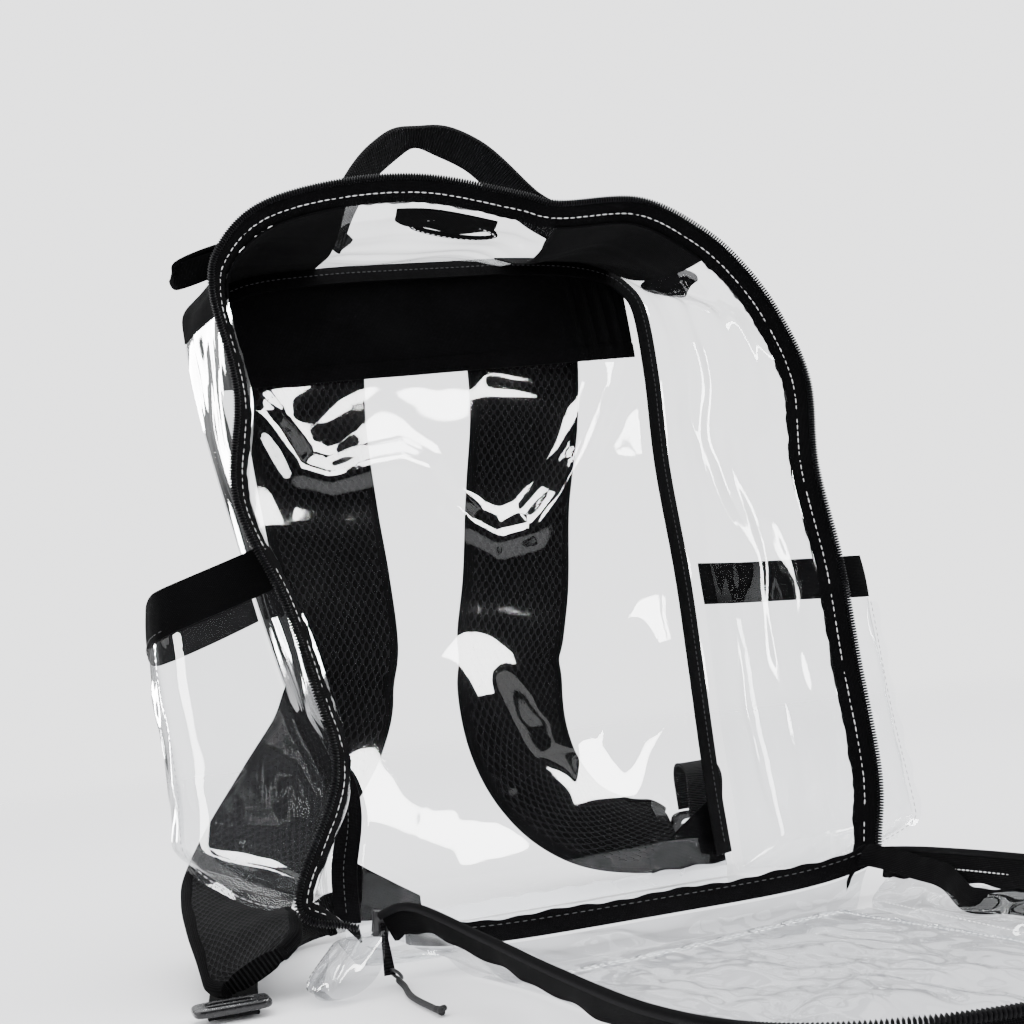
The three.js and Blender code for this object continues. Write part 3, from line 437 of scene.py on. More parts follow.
def woven_cloth(name, thread, worn):
    """Black plain weave, with a dry sheen where it turns away."""
    made = bpy.data.materials.new(name)
    made.use_nodes = True
    net = made.node_tree
    skin = net.nodes["Principled BSDF"]
    skin.inputs["Roughness"].default_value = 0.85
    skin.inputs["Specular IOR Level"].default_value = 0.02
    skin.inputs["Sheen Weight"].default_value = 0.008
    skin.inputs["Sheen Roughness"].default_value = 0.4
    lay = net.nodes.new("ShaderNodeUVMap")
    lay.uv_map = "lay"
    heights = []
    for direction in ("X", "Y"):
        band = net.nodes.new("ShaderNodeTexWave")
        band.bands_direction = direction
        band.inputs["Scale"].default_value = 0.314 / thread
        band.inputs["Distortion"].default_value = 0.4
        net.links.new(lay.outputs[0], band.inputs["Vector"])
        heights.append(band)
    weave = net.nodes.new("ShaderNodeMath")
    weave.operation = "MULTIPLY"
    net.links.new(heights[0].outputs["Fac"], weave.inputs[0])
    net.links.new(heights[1].outputs["Fac"], weave.inputs[1])
    where = net.nodes.new("ShaderNodeTexCoord")
    patch = net.nodes.new("ShaderNodeTexNoise")
    patch.inputs["Scale"].default_value = 34
    patch.inputs["Detail"].default_value = 5
    net.links.new(where.outputs["Object"], patch.inputs["Vector"])
    tone = net.nodes.new("ShaderNodeMix")
    tone.data_type = "RGBA"
    tone.inputs["A"].default_value = CLOTH_BLACK
    tone.inputs["B"].default_value = worn
    both = net.nodes.new("ShaderNodeMath")
    both.operation = "MULTIPLY"
    net.links.new(patch.outputs["Fac"], both.inputs[0])
    net.links.new(weave.outputs[0], both.inputs[1])
    net.links.new(both.outputs[0], tone.inputs["Factor"])
    net.links.new(tone.outputs["Result"], skin.inputs["Base Color"])
    total = net.nodes.new("ShaderNodeMath")
    total.operation = "MULTIPLY_ADD"
    total.inputs[1].default_value = 3.0
    net.links.new(patch.outputs["Fac"], total.inputs[0])
    net.links.new(weave.outputs[0], total.inputs[2])
    relief = net.nodes.new("ShaderNodeBump")
    relief.inputs["Strength"].default_value = 0.7
    relief.inputs["Distance"].default_value = 0.0004
    net.links.new(total.outputs[0], relief.inputs["Height"])
    net.links.new(relief.outputs[0], skin.inputs["Normal"])
    return made


black_cloth = woven_cloth("black_cloth", 0.0009, (0.009, 0.009, 0.0098, 1))
wall_piece("left_corner_cloth", 7, 10, 70, 14, 0.0010, black_cloth, "cloth", "corner_left", 0.0012)
wall_piece("right_corner_cloth", 13, 15.3, 60, 15, 0.0010, black_cloth, "cloth", "corner_right", 0.0012)

# Back panel. One sheet of vinyl from the bottom to the yoke. Its own weight and the straps behind
# pull it into a hanging swag under the yoke and broad bulges near the floor.
BACK_TOP = 0.825 * HEIGHT + 0.006


def seam_row(up, first, last):
    """The row of the back seam at a height, between two rows."""
    rows = np.linspace(first, last, 400)
    ups = smooth_line(SEAMS[:, [2, 3]] * (WIDTH, HEIGHT), rows)[:, 1]
    order = np.argsort(ups)
    return np.interp(up, ups[order], rows[order])


def back_side(up, first, last):
    return smooth_line(SEAMS[:, [2, 3]] * (WIDTH, HEIGHT), seam_row(up, first, last))[..., 0]


def back_panel_point(u, up):
    """The back panel with its belly, before folds."""
    left = back_side(up, 0, 10) + 0.0009
    right = back_side(up, 23, 13) - 0.0009
    side = left + (right - left) * u
    v = np.clip((up - 0.0006) / (BACK_TOP - 0.0006), 0, 1)
    belly = np.sin(np.pi * u) * np.sin(np.pi * v)
    p = body_point(side, up, 1.0 + 0 * side)
    p[..., 1] += 0.005 * belly + 0.0015 * np.sin(u * 9) * np.sin(v * 7) * belly
    return p


# The seam allowance at the foot of the back stands up as a narrow milky lip.
seam_vinyl = vinyl("seam_vinyl", 0.30, 0.0015)
u, v = mesh_grid(260, 6)
x = (-0.378 + 0.758 * v) * WIDTH
foot_rise = 0.0095 * u + 0.0006 * np.sin(v * 70) * u
p = body_point(x, foot_rise, 1 - (0.0016 + 0.0030 * u) / DEPTH)
join_in(grid_piece("back_foot_seam", p, 0.0006), seam_vinyl, "film")

SWAG = [(-0.141, 0.341), (-0.127, 0.322), (-0.113, 0.293), (-0.094, 0.2865), (-0.066, 0.292), (-0.046, 0.294),
        (-0.030, 0.286), (-0.020, 0.265), (-0.005, 0.247), (0.013, 0.236), (0.036, 0.2395), (0.057, 0.259),
        (0.078, 0.286), (0.096, 0.314), (0.112, 0.349)]
LOWER_BULGE = [(-0.115, 0.060), (-0.080, 0.040), (-0.030, 0.022), (0.030, 0.018), (0.080, 0.026)]
MIDDLE_BULGE = [(-0.018, 0.130), (0.004, 0.085), (0.030, 0.060), (0.070, 0.062), (0.108, 0.100),
                (0.112, 0.150)]
u, v = mesh_grid(220, 180)
up = 0.0006 + (BACK_TOP - 0.0006) * v
p = back_panel_point(u, up)
free = np.clip(np.minimum(u, 1 - u) * 14, 0, 1) * np.clip(np.minimum(v, 1 - v) * 14, 0, 1)
hang = 0.0050 * fold(p[..., 0], p[..., 2], SWAG, 0.011)
hang += 0.0100 * fold(p[..., 0], p[..., 2], LOWER_BULGE, 0.034)
hang += 0.0085 * fold(p[..., 0], p[..., 2], MIDDLE_BULGE, 0.026)
hang += 0.0012 * crumple(p[..., 0], p[..., 2], 21, 0.13)
p[..., 1] -= hang * free
join_in(grid_piece("back_vinyl", p), clear_vinyl, "film", "back_panel")

# Yoke. A band of black cloth across the top of the back, inside. Its lower edge is hemmed,
# and its right end is gathered into the seam.
u, v = mesh_grid(44, 260)
side = (-0.500 + (0.390 + 0.500) * u) * WIDTH
tops = smooth_line(SEAMS[:, [2, 3]] * (WIDTH, HEIGHT), np.linspace(8, 17, 400))
order = np.argsort(tops[:, 0])
top = np.interp(side, tops[order, 0], tops[order, 1]) - 0.0025
foot = 0.825 * HEIGHT - 0.004 * (1 - u)
up = foot + (top - foot) * v
p = body_point(side, up, 1 - 0.0018 / DEPTH + 0 * side)
belly = np.sin(np.pi * u) * np.sin(np.pi * v)
gather = np.clip((u - 0.80) / 0.1, 0, 1) * np.clip((1 - u) / 0.03, 0, 1) * np.sin(np.pi * v) ** 0.6
p[..., 1] -= 0.0025 * belly + 0.0006 * crumple(side, up, 31, 0.08)
p[..., 1] -= 0.0020 * gather * (1 + np.sin(u * 190 + 3 * v))
hem = np.exp(-(((up - foot) - 0.011) / 0.0011) ** 2)
p[..., 1] -= 0.0008 * np.clip((0.011 - (up - foot)) / 0.001, 0, 1) - 0.0007 * hem
join_in(grid_piece("yoke_cloth", p, 0.0014), black_cloth, "cloth", "yoke_band")

# Binding of the back seam. A cloth tape folded over the raw edges of the walls and the back,
# sewn through with dark thread.
BINDING = 0.015
u, v = mesh_grid(420, 9)
row = 0.25 + 22.5 * v
inset = 0.0010 + u * BINDING * 0.92
deep = 1 - (0.0022 + u * BINDING * 0.60) / DEPTH
p = back_point(row, inset, deep)
p[..., 1] -= 0.0010 * np.sin(np.pi * u) + 0.0004 * np.sin(row * 31) * np.sin(np.pi * u)
join_in(grid_piece("seam_binding", p, 0.0013), black_cloth, "cloth", "back_binding")


def spaced(line, step):
    """Points at even steps along a line, and the line's direction at each."""
    line = np.asarray(line, float)
    run = np.concatenate([[0], np.cumsum(np.linalg.norm(np.diff(line, axis=0), axis=1))])
    at = np.arange(step / 2, run[-1], step)
    points = np.stack([np.interp(at, run, line[:, k]) for k in range(3)], -1)
    ahead_of = np.stack([np.interp(at + step / 4, run, line[:, k]) for k in range(3)], -1)
    behind_of = np.stack([np.interp(at - step / 4, run, line[:, k]) for k in range(3)], -1)
    way = ahead_of - behind_of
    return points, way / np.linalg.norm(way, axis=1, keepdims=True)


def beads(name, points, along, faces, long, wide, tall, rings=3, sides=6):
    """Small rounded bars, one at each point: thread stitches, or the loops of a zip."""
    faces = np.broadcast_to(faces, points.shape)
    cross = np.cross(along, faces)
    cross /= np.linalg.norm(cross, axis=1, keepdims=True)
    top = np.cross(cross, along)
    turn = np.arange(sides) * 2 * np.pi / sides
    stops = np.linspace(-1, 1, rings + 2)[1:-1]
    pattern = [(-1, 0, 0)]
    for s in stops:
        r = (1 - s ** 4) ** 0.5
        pattern += [(s, r * math.cos(t), r * math.sin(t)) for t in turn]
    pattern.append((1, 0, 0))
    pattern = np.array(pattern)
    spots = (points[:, None] + along[:, None] * pattern[None, :, :1] * long
             + cross[:, None] * pattern[None, :, 1:2] * wide + top[:, None] * pattern[None, :, 2:] * tall)
    faces_of_one = []
    last = len(pattern) - 1
    for k in range(sides):
        after = (k + 1) % sides
        faces_of_one.append((0, 1 + after, 1 + k))
        for r in range(rings - 1):
            a, b = 1 + r * sides, 1 + (r + 1) * sides
            faces_of_one.append((a + k, a + after, b + after, b + k))
        a = 1 + (rings - 1) * sides
        faces_of_one.append((a + k, a + after, last))
    faces_all = [[i + n * (last + 1) for i in f] for n in range(len(points)) for f in faces_of_one]
    mesh = bpy.data.meshes.new(name)
    mesh.from_pydata(spots.reshape(-1, 3).tolist(), [], faces_all)
    lay = np.tile(pattern[:, :2] * (long, wide), (len(points), 1))
    return finish_mesh(name, mesh, lay)


def thread(name, colour):
    """Twisted sewing thread."""
    made = bpy.data.materials.new(name)
    made.use_nodes = True
    net = made.node_tree
    skin = net.nodes["Principled BSDF"]
    skin.inputs["Roughness"].default_value = 0.6
    where = net.nodes.new("ShaderNodeTexCoord")
    twist = net.nodes.new("ShaderNodeTexNoise")
    twist.inputs["Scale"].default_value = 900
    net.links.new(where.outputs["Object"], twist.inputs["Vector"])
    tone = net.nodes.new("ShaderNodeMix")
    tone.data_type = "RGBA"
    tone.inputs["A"].default_value = [c * 0.7 for c in colour[:3]] + [1]
    tone.inputs["B"].default_value = colour
    net.links.new(twist.outputs["Fac"], tone.inputs["Factor"])
    net.links.new(tone.outputs["Result"], skin.inputs["Base Color"])
    relief = net.nodes.new("ShaderNodeBump")
    relief.inputs["Distance"].default_value = 0.0002
    net.links.new(twist.outputs["Fac"], relief.inputs["Height"])
    net.links.new(relief.outputs[0], skin.inputs["Normal"])
    return made


dark_thread = thread("dark_thread", (0.022, 0.022, 0.024, 1))
white_thread = thread("white_thread", (0.75, 0.75, 0.76, 1))
rows = np.linspace(0.4, 22.6, 900)
line = back_point(rows, 0.0010 + 0.5 * BINDING * 0.80, 1 - (0.0022 + 0.5 * BINDING * 0.60) / DEPTH)
line[:, 1] -= 0.0019
points, way = spaced(line, 0.0036)
binding_stitch = beads("binding_stitches", points, way, (0, -1, 0), 0.0013, 0.00028, 0.00025)
join_in(binding_stitch, dark_thread, "cloth")

# Side pockets. Vinyl pouches sewn to the side walls: the left one stands out for a bottle, the
# right one lies closer. Each has a black cloth band round its mouth and stitched corner seams.
POUCHES = {
    "left": dict(sign=-1, first=0, last=6, front=0.226, back=0.219, foot=0.036, knee=0.078, mouth=0.208,
                 lift=0.022, seat=0.0035),
    "right": dict(sign=1, first=23, last=17, front=0.200, back=0.166, foot=0.009, knee=0.030, mouth=0.197,
                  lift=0.002, seat=0.0019),
}
POUCH_PLAN = [(0.015, 0.0), (0.02, 0.3), (0.03, 0.62), (0.06, 0.9), (0.15, 1.0), (0.5, 1.03), (0.78, 0.98),
              (0.88, 0.86), (0.925, 0.5), (0.94, 0.0)]
BAND = 0.027


def pouch_point(pouch, share, height):
    """A point of a pocket: share runs round it from front to back, height from its foot to its mouth."""
    plan = smooth_line([(a, b, 0) for a, b in POUCH_PLAN], share * (len(POUCH_PLAN) - 1))
    low = np.clip((height - pouch["foot"]) / (pouch["knee"] - pouch["foot"]), 0, 1)
    swell = np.sin(low * np.pi / 2) ** 0.9
    out = np.clip(plan[..., 1], 0, 1.03) * swell * (1 + 0.02 * np.sin(height * 1000 / 22))
    rise = np.clip((height - pouch["knee"]) / 0.09, 0, 1)
    lift = pouch["lift"] * (1 - np.clip(out, 0, 1)) * rise
    rows = np.linspace(pouch["first"], pouch["last"], 400)
    heights = wall_point(rows, 0.5)[:, 2]
    order = np.argsort(heights)
    row = np.interp(height + lift, heights[order], rows[order])
    base = wall_point(row, plan[..., 0])
    far = pouch["sign"] * (pouch["front"] + (pouch["back"] - pouch["front"]) * plan[..., 0])
    near = base[..., 0] + pouch["sign"] * pouch["seat"]
    base[..., 0] = near + (far - near) * out
    return base


pocket_vinyl = vinyl("pocket_vinyl", 0.008, 0.0045)
pocket_thread = thread("pocket_thread", (0.34, 0.34, 0.36, 1))
for name, pouch in POUCHES.items():
    edge = pouch["mouth"] - BAND
    u, v = mesh_grid(110, 150)
    height = pouch["foot"] + (edge - pouch["foot"]) * v ** 1.2
    p = pouch_point(pouch, u, height)
    free = np.sin(np.pi * u) * np.clip(np.minimum(v, 1 - v) * 10, 0, 1)
    p[..., 0] += pouch["sign"] * 0.0016 * crumple(p[..., 1] * 1.6, p[..., 2], 41 + pouch["sign"], 0.07) * free
    join_in(grid_piece(f"{name}_pocket_vinyl", p), pocket_vinyl, "film", f"pocket_{name}")
    u, v = mesh_grid(12, 200)
    p = pouch_point(pouch, u, edge + 0.0007 + (pouch["mouth"] - edge - 0.0007) * v)
    p[..., 0] += pouch["sign"] * 0.0005 * np.sin(u * 60) * np.sin(np.pi * v)
    band = grid_piece(f"{name}_pocket_band", p, 0.0018)
    join_in(band, black_cloth, "cloth", f"pocket_{name}_band")
    height = np.linspace(edge - 0.002, pouch["foot"] + 0.004, 240)
    seam = pouch_point(pouch, np.full(240, 0.41), height)
    u, v = mesh_grid(240, 5)
    brim = np.array([pouch["sign"] * 0.0055, -0.0030, -0.0008])
    lip = seam[:, None] + u[..., None] * brim * (1 + 0.12 * np.sin(v * 40))[..., None]
    join_in(grid_piece(f"{name}_pocket_seam", lip), pocket_vinyl, "film")
    seam[:, 0] += pouch["sign"] * 0.0020
    seam[:, 1] -= 0.0020
    points, way = spaced(seam, 0.0038)
    sewn = beads(f"{name}_pocket_stitches", points, way, (pouch["sign"], -0.4, 0), 0.0014, 0.0003, 0.0003)
    join_in(sewn, pocket_thread, "film")
    share = np.linspace(0.08, 0.94, 300)
    hem = pouch_point(pouch, share, np.full(300, edge + 0.004))
    hem[:, 0] += pouch["sign"] * 0.0014
    points, way = spaced(hem, 0.0044)
    sewn = beads(f"{name}_band_stitches", points, way, (pouch["sign"], 0, 0), 0.0014, 0.0003, 0.0003)
    join_in(sewn, dark_thread, "cloth")

# Zip of the body. A black tape that flares outwards round the opening, with the nylon coil on its
# outer edge and a row of pale topstitching along its middle.
COIL_WIDTH = 0.0047
COIL_PITCH = 0.0016
COIL_HEIGHT = 0.0042


def body_tape_point(row, u):
    out = rim_point(row, -0.0002, 0.002)
    inner = wall_point(row, 0.02) + seam_out(row) * 0.0012
    u = np.asarray(u, float)[..., None]
    return out + (inner - out) * u


u, v = mesh_grid(620, 11)
row = 23 * v
p = body_tape_point(row, u)
wave = (0.0003 * np.sin(row * 9) + 0.0003 * np.sin(row * 17 + 2) + 0.0002 * np.sin(row * 41)) * u ** 2
p = p - seam_out(row) * wave[..., None]
p[..., 1] -= 0.0006 * np.sin(np.pi * u) + 0.0003 * np.sin(row * 23) * u
tape = grid_piece("body_zip_tape", p, 0.0013)
join_in(tape, black_cloth, "cloth", "zip_tape_body")


def moulded(name, colour, rough, speckle):
    """Black nylon or moulded plastic, with a faint grain."""
    made = bpy.data.materials.new(name)
    made.use_nodes = True
    net = made.node_tree
    skin = net.nodes["Principled BSDF"]
    where = net.nodes.new("ShaderNodeTexCoord")
    grain = net.nodes.new("ShaderNodeTexNoise")
    grain.inputs["Scale"].default_value = speckle
    grain.inputs["Detail"].default_value = 4
    net.links.new(where.outputs["Object"], grain.inputs["Vector"])
    tone = net.nodes.new("ShaderNodeMix")
    tone.data_type = "RGBA"
    tone.inputs["A"].default_value = colour
    tone.inputs["B"].default_value = [c * 1.9 for c in colour[:3]] + [1]
    net.links.new(grain.outputs["Fac"], tone.inputs["Factor"])
    net.links.new(tone.outputs["Result"], skin.inputs["Base Color"])
    spread = net.nodes.new("ShaderNodeMapRange")
    spread.inputs["To Min"].default_value = rough * 0.8
    spread.inputs["To Max"].default_value = rough * 1.3
    net.links.new(grain.outputs["Fac"], spread.inputs["Value"])
    net.links.new(spread.outputs[0], skin.inputs["Roughness"])
    relief = net.nodes.new("ShaderNodeBump")
    relief.inputs["Strength"].default_value = 0.3
    relief.inputs["Distance"].default_value = 0.0002
    net.links.new(grain.outputs["Fac"], relief.inputs["Height"])
    net.links.new(relief.outputs[0], skin.inputs["Normal"])
    return made


black_nylon = moulded("black_nylon", (0.0030, 0.0030, 0.0034, 1), 0.45, 700)
black_nylon.node_tree.nodes["Principled BSDF"].inputs["Specular IOR Level"].default_value = 0.16
rows = np.linspace(0, 23, 1600)
points, way = spaced(rim_point(rows, -0.0003, -0.005), COIL_PITCH)
across = np.cross(way, (0, -1, 0))
coil = beads("body_zip_coil", points, across, way, COIL_WIDTH / 2, COIL_HEIGHT / 2, COIL_PITCH * 0.42)
join_in(coil, black_nylon, "coil", "zip_coil_body")
line = body_tape_point(rows, np.full(1600, 0.62))
line[:, 1] -= 0.0015
points, way = spaced(line, 0.0042)
sewn = beads("body_zip_stitches", points, way, (0, -1, 0), 0.0018, 0.00034, 0.0003)
join_in(sewn, white_thread, "cloth")

# Front panel, folded down. A shallow tray: its face lies on the floor in soft wrinkles, and its
# walls slope up to the second half of the zip.
PANEL_LENGTH = 0.415
PANEL_WALL = 0.034
PANEL_RIM = np.array([
    (-0.412, 0.012, 0.032), (-0.375, 0.10, 0.040), (-0.335, 0.30, 0.033), (-0.322, 0.52, 0.030),
    (-0.316, 0.76, 0.031), (-0.275, 0.91, 0.033), (-0.175, 0.985, 0.034), (-0.04, 1.0, 0.033),
    (0.17, 1.0, 0.034), (0.32, 0.985, 0.033), (0.42, 0.91, 0.034), (0.462, 0.76, 0.033),
    (0.468, 0.52, 0.031), (0.472, 0.30, 0.029), (0.476, 0.12, 0.026), (0.478, 0.012, 0.023),
])
PANEL_LAST = len(PANEL_RIM) - 1
panel_rim_line = PANEL_RIM * (WIDTH, -PANEL_LENGTH, 1) + (0, HINGE_Y, 0)


def panel_in(row):
    """The level way into the tray, square to its rim."""
    step = smooth_line(panel_rim_line, np.minimum(row + 0.1, PANEL_LAST))
    step = step - smooth_line(panel_rim_line, np.maximum(row - 0.1, 0))
    step[..., 2] = 0
    step /= np.linalg.norm(step, axis=-1, keepdims=True)
    return np.stack([-step[..., 1], step[..., 0], 0 * step[..., 0]], -1)


def panel_point(row, inset, drop):
    """A point by the tray's rim: in by inset and down by drop, never under the floor."""
    row, inset, drop = np.broadcast_arrays(np.asarray(row, float), inset, drop)
    p = smooth_line(panel_rim_line, row) + panel_in(row) * inset[..., None]
    p[..., 2] = np.maximum(p[..., 2] - drop, FLOOR_GAP)
    return p


u, v = mesh_grid(420, 26)
row = 0.2 + 0.75 * u + (PANEL_LAST - 0.4 - 1.35 * u) * v
rim = panel_point(row, 0.0066, 0.0128)
foot = panel_point(row, PANEL_WALL - 0.003, 0.1)
p = rim + (foot - rim) * u[..., None]
slack = np.sin(np.pi * u)
crease = 0.0018 * np.sin(row * 3.1) + 0.0022 * crumple(row * 0.03, u * 0.03, 51, 0.03)
p = p + panel_in(row) * (crease * slack)[..., None]
p[..., 2] = np.maximum(p[..., 2] + 0.0015 * slack * crumple(row * 0.03, u * 0.04, 52, 0.025), FLOOR_GAP)
# The tray's vinyl is tinted dark grey: painted shade, standing in for the dark surroundings that its film
# reflects at a slant.
tray_vinyl_painted_shade = vinyl("tray_vinyl_painted_shade", 0.004, 0.0065, (0.72, 0.725, 0.735, 1))
join_in(grid_piece("tray_wall_vinyl", p), tray_vinyl_painted_shade, "film", "front_gusset")

FACE_NEAR = HINGE_Y - 0.036
u, v = mesh_grid(190, 130)
far = HINGE_Y - PANEL_LENGTH + PANEL_WALL + 0.0004
y = FACE_NEAR + (far - FACE_NEAR) * np.sin(v * np.pi / 2)
left_run = panel_point(np.linspace(0, 7.3, 500), PANEL_WALL - 0.0021, 0.1)
right_run = panel_point(np.linspace(15, 7.3, 500), PANEL_WALL - 0.0021, 0.1)
left = np.interp(-y, -left_run[:, 1], left_run[:, 0])
right = np.interp(-y, -right_run[:, 1], right_run[:, 0])
x = left + (right - left) * u
belly = np.sin(np.pi * u) ** 0.6 * np.sin(np.pi * v) ** 0.6
wrinkle = np.maximum(0, 0.0055 * np.sin(u * 7 + v * 4) * np.sin(v * 9 + 1))
wrinkle += 0.0060 * np.abs(crumple(x, y, 53, 0.11)) + 0.0030 * np.abs(crumple(x * 2, y, 54, 0.07))
z = FLOOR_GAP + wrinkle * belly
join_in(grid_piece("tray_face_vinyl", np.stack([x, y, z], -1)), tray_vinyl_painted_shade, "film", "front_face")


def hinge_height(share):
    return HINGE_RISE + 0.0011 + 0.007 * np.abs(2 * share - 1) ** 5


u, v = mesh_grid(20, 160)
start = np.stack([(-0.355 + 0.791 * u) * WIDTH, HINGE_Y - 0.0043 + 0 * u, hinge_height(u) - 0.0017], -1)
end = np.stack([(-0.262 + 0.622 * u) * WIDTH, FACE_NEAR + 0.0008 + 0 * u, FLOOR_GAP + 0 * u], -1)
p = start + (end - start) * v[..., None]
p[..., 2] += (0.0015 * np.sin(u * 21) + 0.0016 * crumple(u * 0.26, v * 0.03, 55, 0.05)) * np.sin(np.pi * v)
p[..., 2] = np.maximum(p[..., 2], FLOOR_GAP)
join_in(grid_piece("hinge_wall_vinyl", p), tray_vinyl_painted_shade, "film", "hinge_gusset")

# The near left corner of the tray swells out under the rim in small puckers.
CORNER_RIM = [(-0.152, -0.030, 0.014), (-0.152, -0.062, 0.022), (-0.146, -0.088, 0.027),
              (-0.136, -0.108, 0.030)]
u, v = mesh_grid(90, 40)
p = smooth_line(CORNER_RIM, v * 3)
swell = 0.046 * np.sin(np.pi * np.clip(v, 0, 1)) ** 0.8 * np.sin(np.pi * u * 0.80)
pucker = 0.0026 * np.sin(v * 34 + 3 * u) * np.sin(np.pi * u) + 0.0020 * crumple(v * 0.14, u * 0.05, 57, 0.05)
p[..., 0] -= 0.55 * (swell + pucker * np.sin(np.pi * v))
p[..., 1] -= 0.84 * (swell + pucker * np.sin(np.pi * v))
drop = u * np.sin(np.pi * np.clip(v, 0, 1)) ** 0.35
p[..., 2] = np.maximum(p[..., 2] * (1 - drop) ** 1.3, FLOOR_GAP)
join_in(grid_piece("tray_corner_vinyl", p), tray_vinyl_painted_shade, "film")
down = p[30, 2:36]
points, way = spaced(down + np.array([-0.0008, -0.0008, 0.0003]), 0.0040)
sewn = beads("tray_corner_stitches", points, way, (-0.8, -0.5, 0.3), 0.0015, 0.0004, 0.0003)
join_in(sewn, dark_thread, "film")

u, v = mesh_grid(520, 9)
row = 0.2 + (PANEL_LAST - 0.22) * v
p = panel_point(row, 0.0010 + 0.0050 * u, 0.0002 + 0.0128 * u)
p = p + panel_in(row) * (0.0010 * np.sin(row * 7) * u ** 2)[..., None]
p[..., 2] += 0.0006 * np.sin(row * 13) * u
join_in(grid_piece("tray_zip_tape", p, 0.0013), black_cloth, "cloth", "front_zip_tape")
rows = np.linspace(0.2, PANEL_LAST - 0.02, 1400)
points, way = spaced(panel_point(rows, -0.0007, -0.0010), COIL_PITCH)
across = np.cross(way, (0, 0, 1))
coil = beads("tray_zip_coil", points, across, way, COIL_WIDTH / 2, COIL_HEIGHT / 2, COIL_PITCH * 0.42)
join_in(coil, black_nylon, "coil", "front_zip_coil")
line = panel_point(rows, 0.0010 + 0.0031, 0.0002 + 0.0078)
line[:, 2] += 0.0012
points, way = spaced(line, 0.0042)
sewn = beads("tray_zip_stitches", points, way, (0, 0, 1), 0.0018, 0.00034, 0.0003)
join_in(sewn, white_thread, "cloth")
line = panel_point(np.linspace(1.0, PANEL_LAST - 1.0, 900), PANEL_WALL - 0.0055, 0.1)
line[:, 2] = 0.0042
points, way = spaced(line, 0.0042)
sewn = beads("tray_seam_stitches", points, way, (0, 0, 1), 0.0016, 0.00032, 0.0003)
join_in(sewn, white_thread, "film")

# Hinge. A cloth binding over the seam where the front panel joins the bottom.
u, v = mesh_grid(160, 12)
x = (-0.362 + 0.806 * v) * WIDTH
stand = np.sin(np.pi * u) ** 0.45
y = HINGE_Y + 0.0028 - 0.0050 * u - 0.0016 * stand
z = hinge_height(v) - 0.0004 + stand * (0.0112 + 0.0006 * np.sin(v * 25) + 0.0004 * np.sin(v * 90))
hinge_tape = grid_piece("hinge_binding_cloth", np.stack([x, y, z], -1), 0.0013)
join_in(hinge_tape, black_cloth, "cloth", "hinge_binding")
line = np.stack([np.linspace(-0.118, 0.145, 200), np.full(200, HINGE_Y - 0.0036), np.zeros(200)], -1)
line[:, 2] = hinge_height((line[:, 0] / WIDTH + 0.362) / 0.806) + 0.0085
points, way = spaced(line, 0.0046)
join_in(beads("hinge_stitches", points, way, (0, 0, 1), 0.0016, 0.0003, 0.0003), dark_thread, "cloth")

# Turned end of the hinge binding. The tape turns up at the right foot and runs on along the inside
# of the tray's wall, loose and wavy. A clear seam with two rows of thread crosses the tray beside it.
TURNED_END = [(0.136, -0.078, 0.010), (0.143, -0.081, 0.022), (0.148, -0.100, 0.022), (0.150, -0.130, 0.019),
              (0.149, -0.160, 0.017), (0.141, -0.195, 0.010), (0.147, -0.225, 0.011), (0.150, -0.270, 0.011)]
u, v = mesh_grid(170, 10)
p = smooth_line(TURNED_END, v * (len(TURNED_END) - 1))
p[..., 0] += 0.0070 * (u - 0.5) - 0.0014 * np.sin(np.pi * u)
p[..., 2] += 0.0105 * (u - 0.5) + 0.0004 * np.sin(v * 70) * u
join_in(grid_piece("hinge_binding_end", p, 0.0020), black_cloth, "cloth")
TRAY_SEAM = [(-0.066, -0.166, 0.0045), (0.001, -0.158, 0.0045), (0.047, -0.147, 0.0045),
             (0.095, -0.137, 0.0045), (0.099, -0.154, 0.0045), (0.107, -0.221, 0.0045),
             (0.113, -0.281, 0.0045)]
line = smooth_line(TRAY_SEAM, np.linspace(0, len(TRAY_SEAM) - 1, 600))
for name, shift in (("near", -0.0022), ("far", 0.0022)):
    row_of = line + np.array([0, shift, 0.0004])
    points, way = spaced(row_of, 0.0042)
    sewn = beads(f"tray_cross_stitches_{name}", points, way, (0, 0, 1), 0.0016, 0.00032, 0.0003)
    join_in(sewn, white_thread, "film")
u, v = mesh_grid(300, 6)
p = smooth_line(TRAY_SEAM, v * (len(TRAY_SEAM) - 1))
p[..., 1] += 0.011 * (u - 0.5)
p[..., 2] += 0.0012 * np.sin(np.pi * u) + 0.0005 * np.sin(v * 90 + 4 * u)
join_in(grid_piece("tray_cross_seam", p, 0.0006), clear_vinyl, "film")

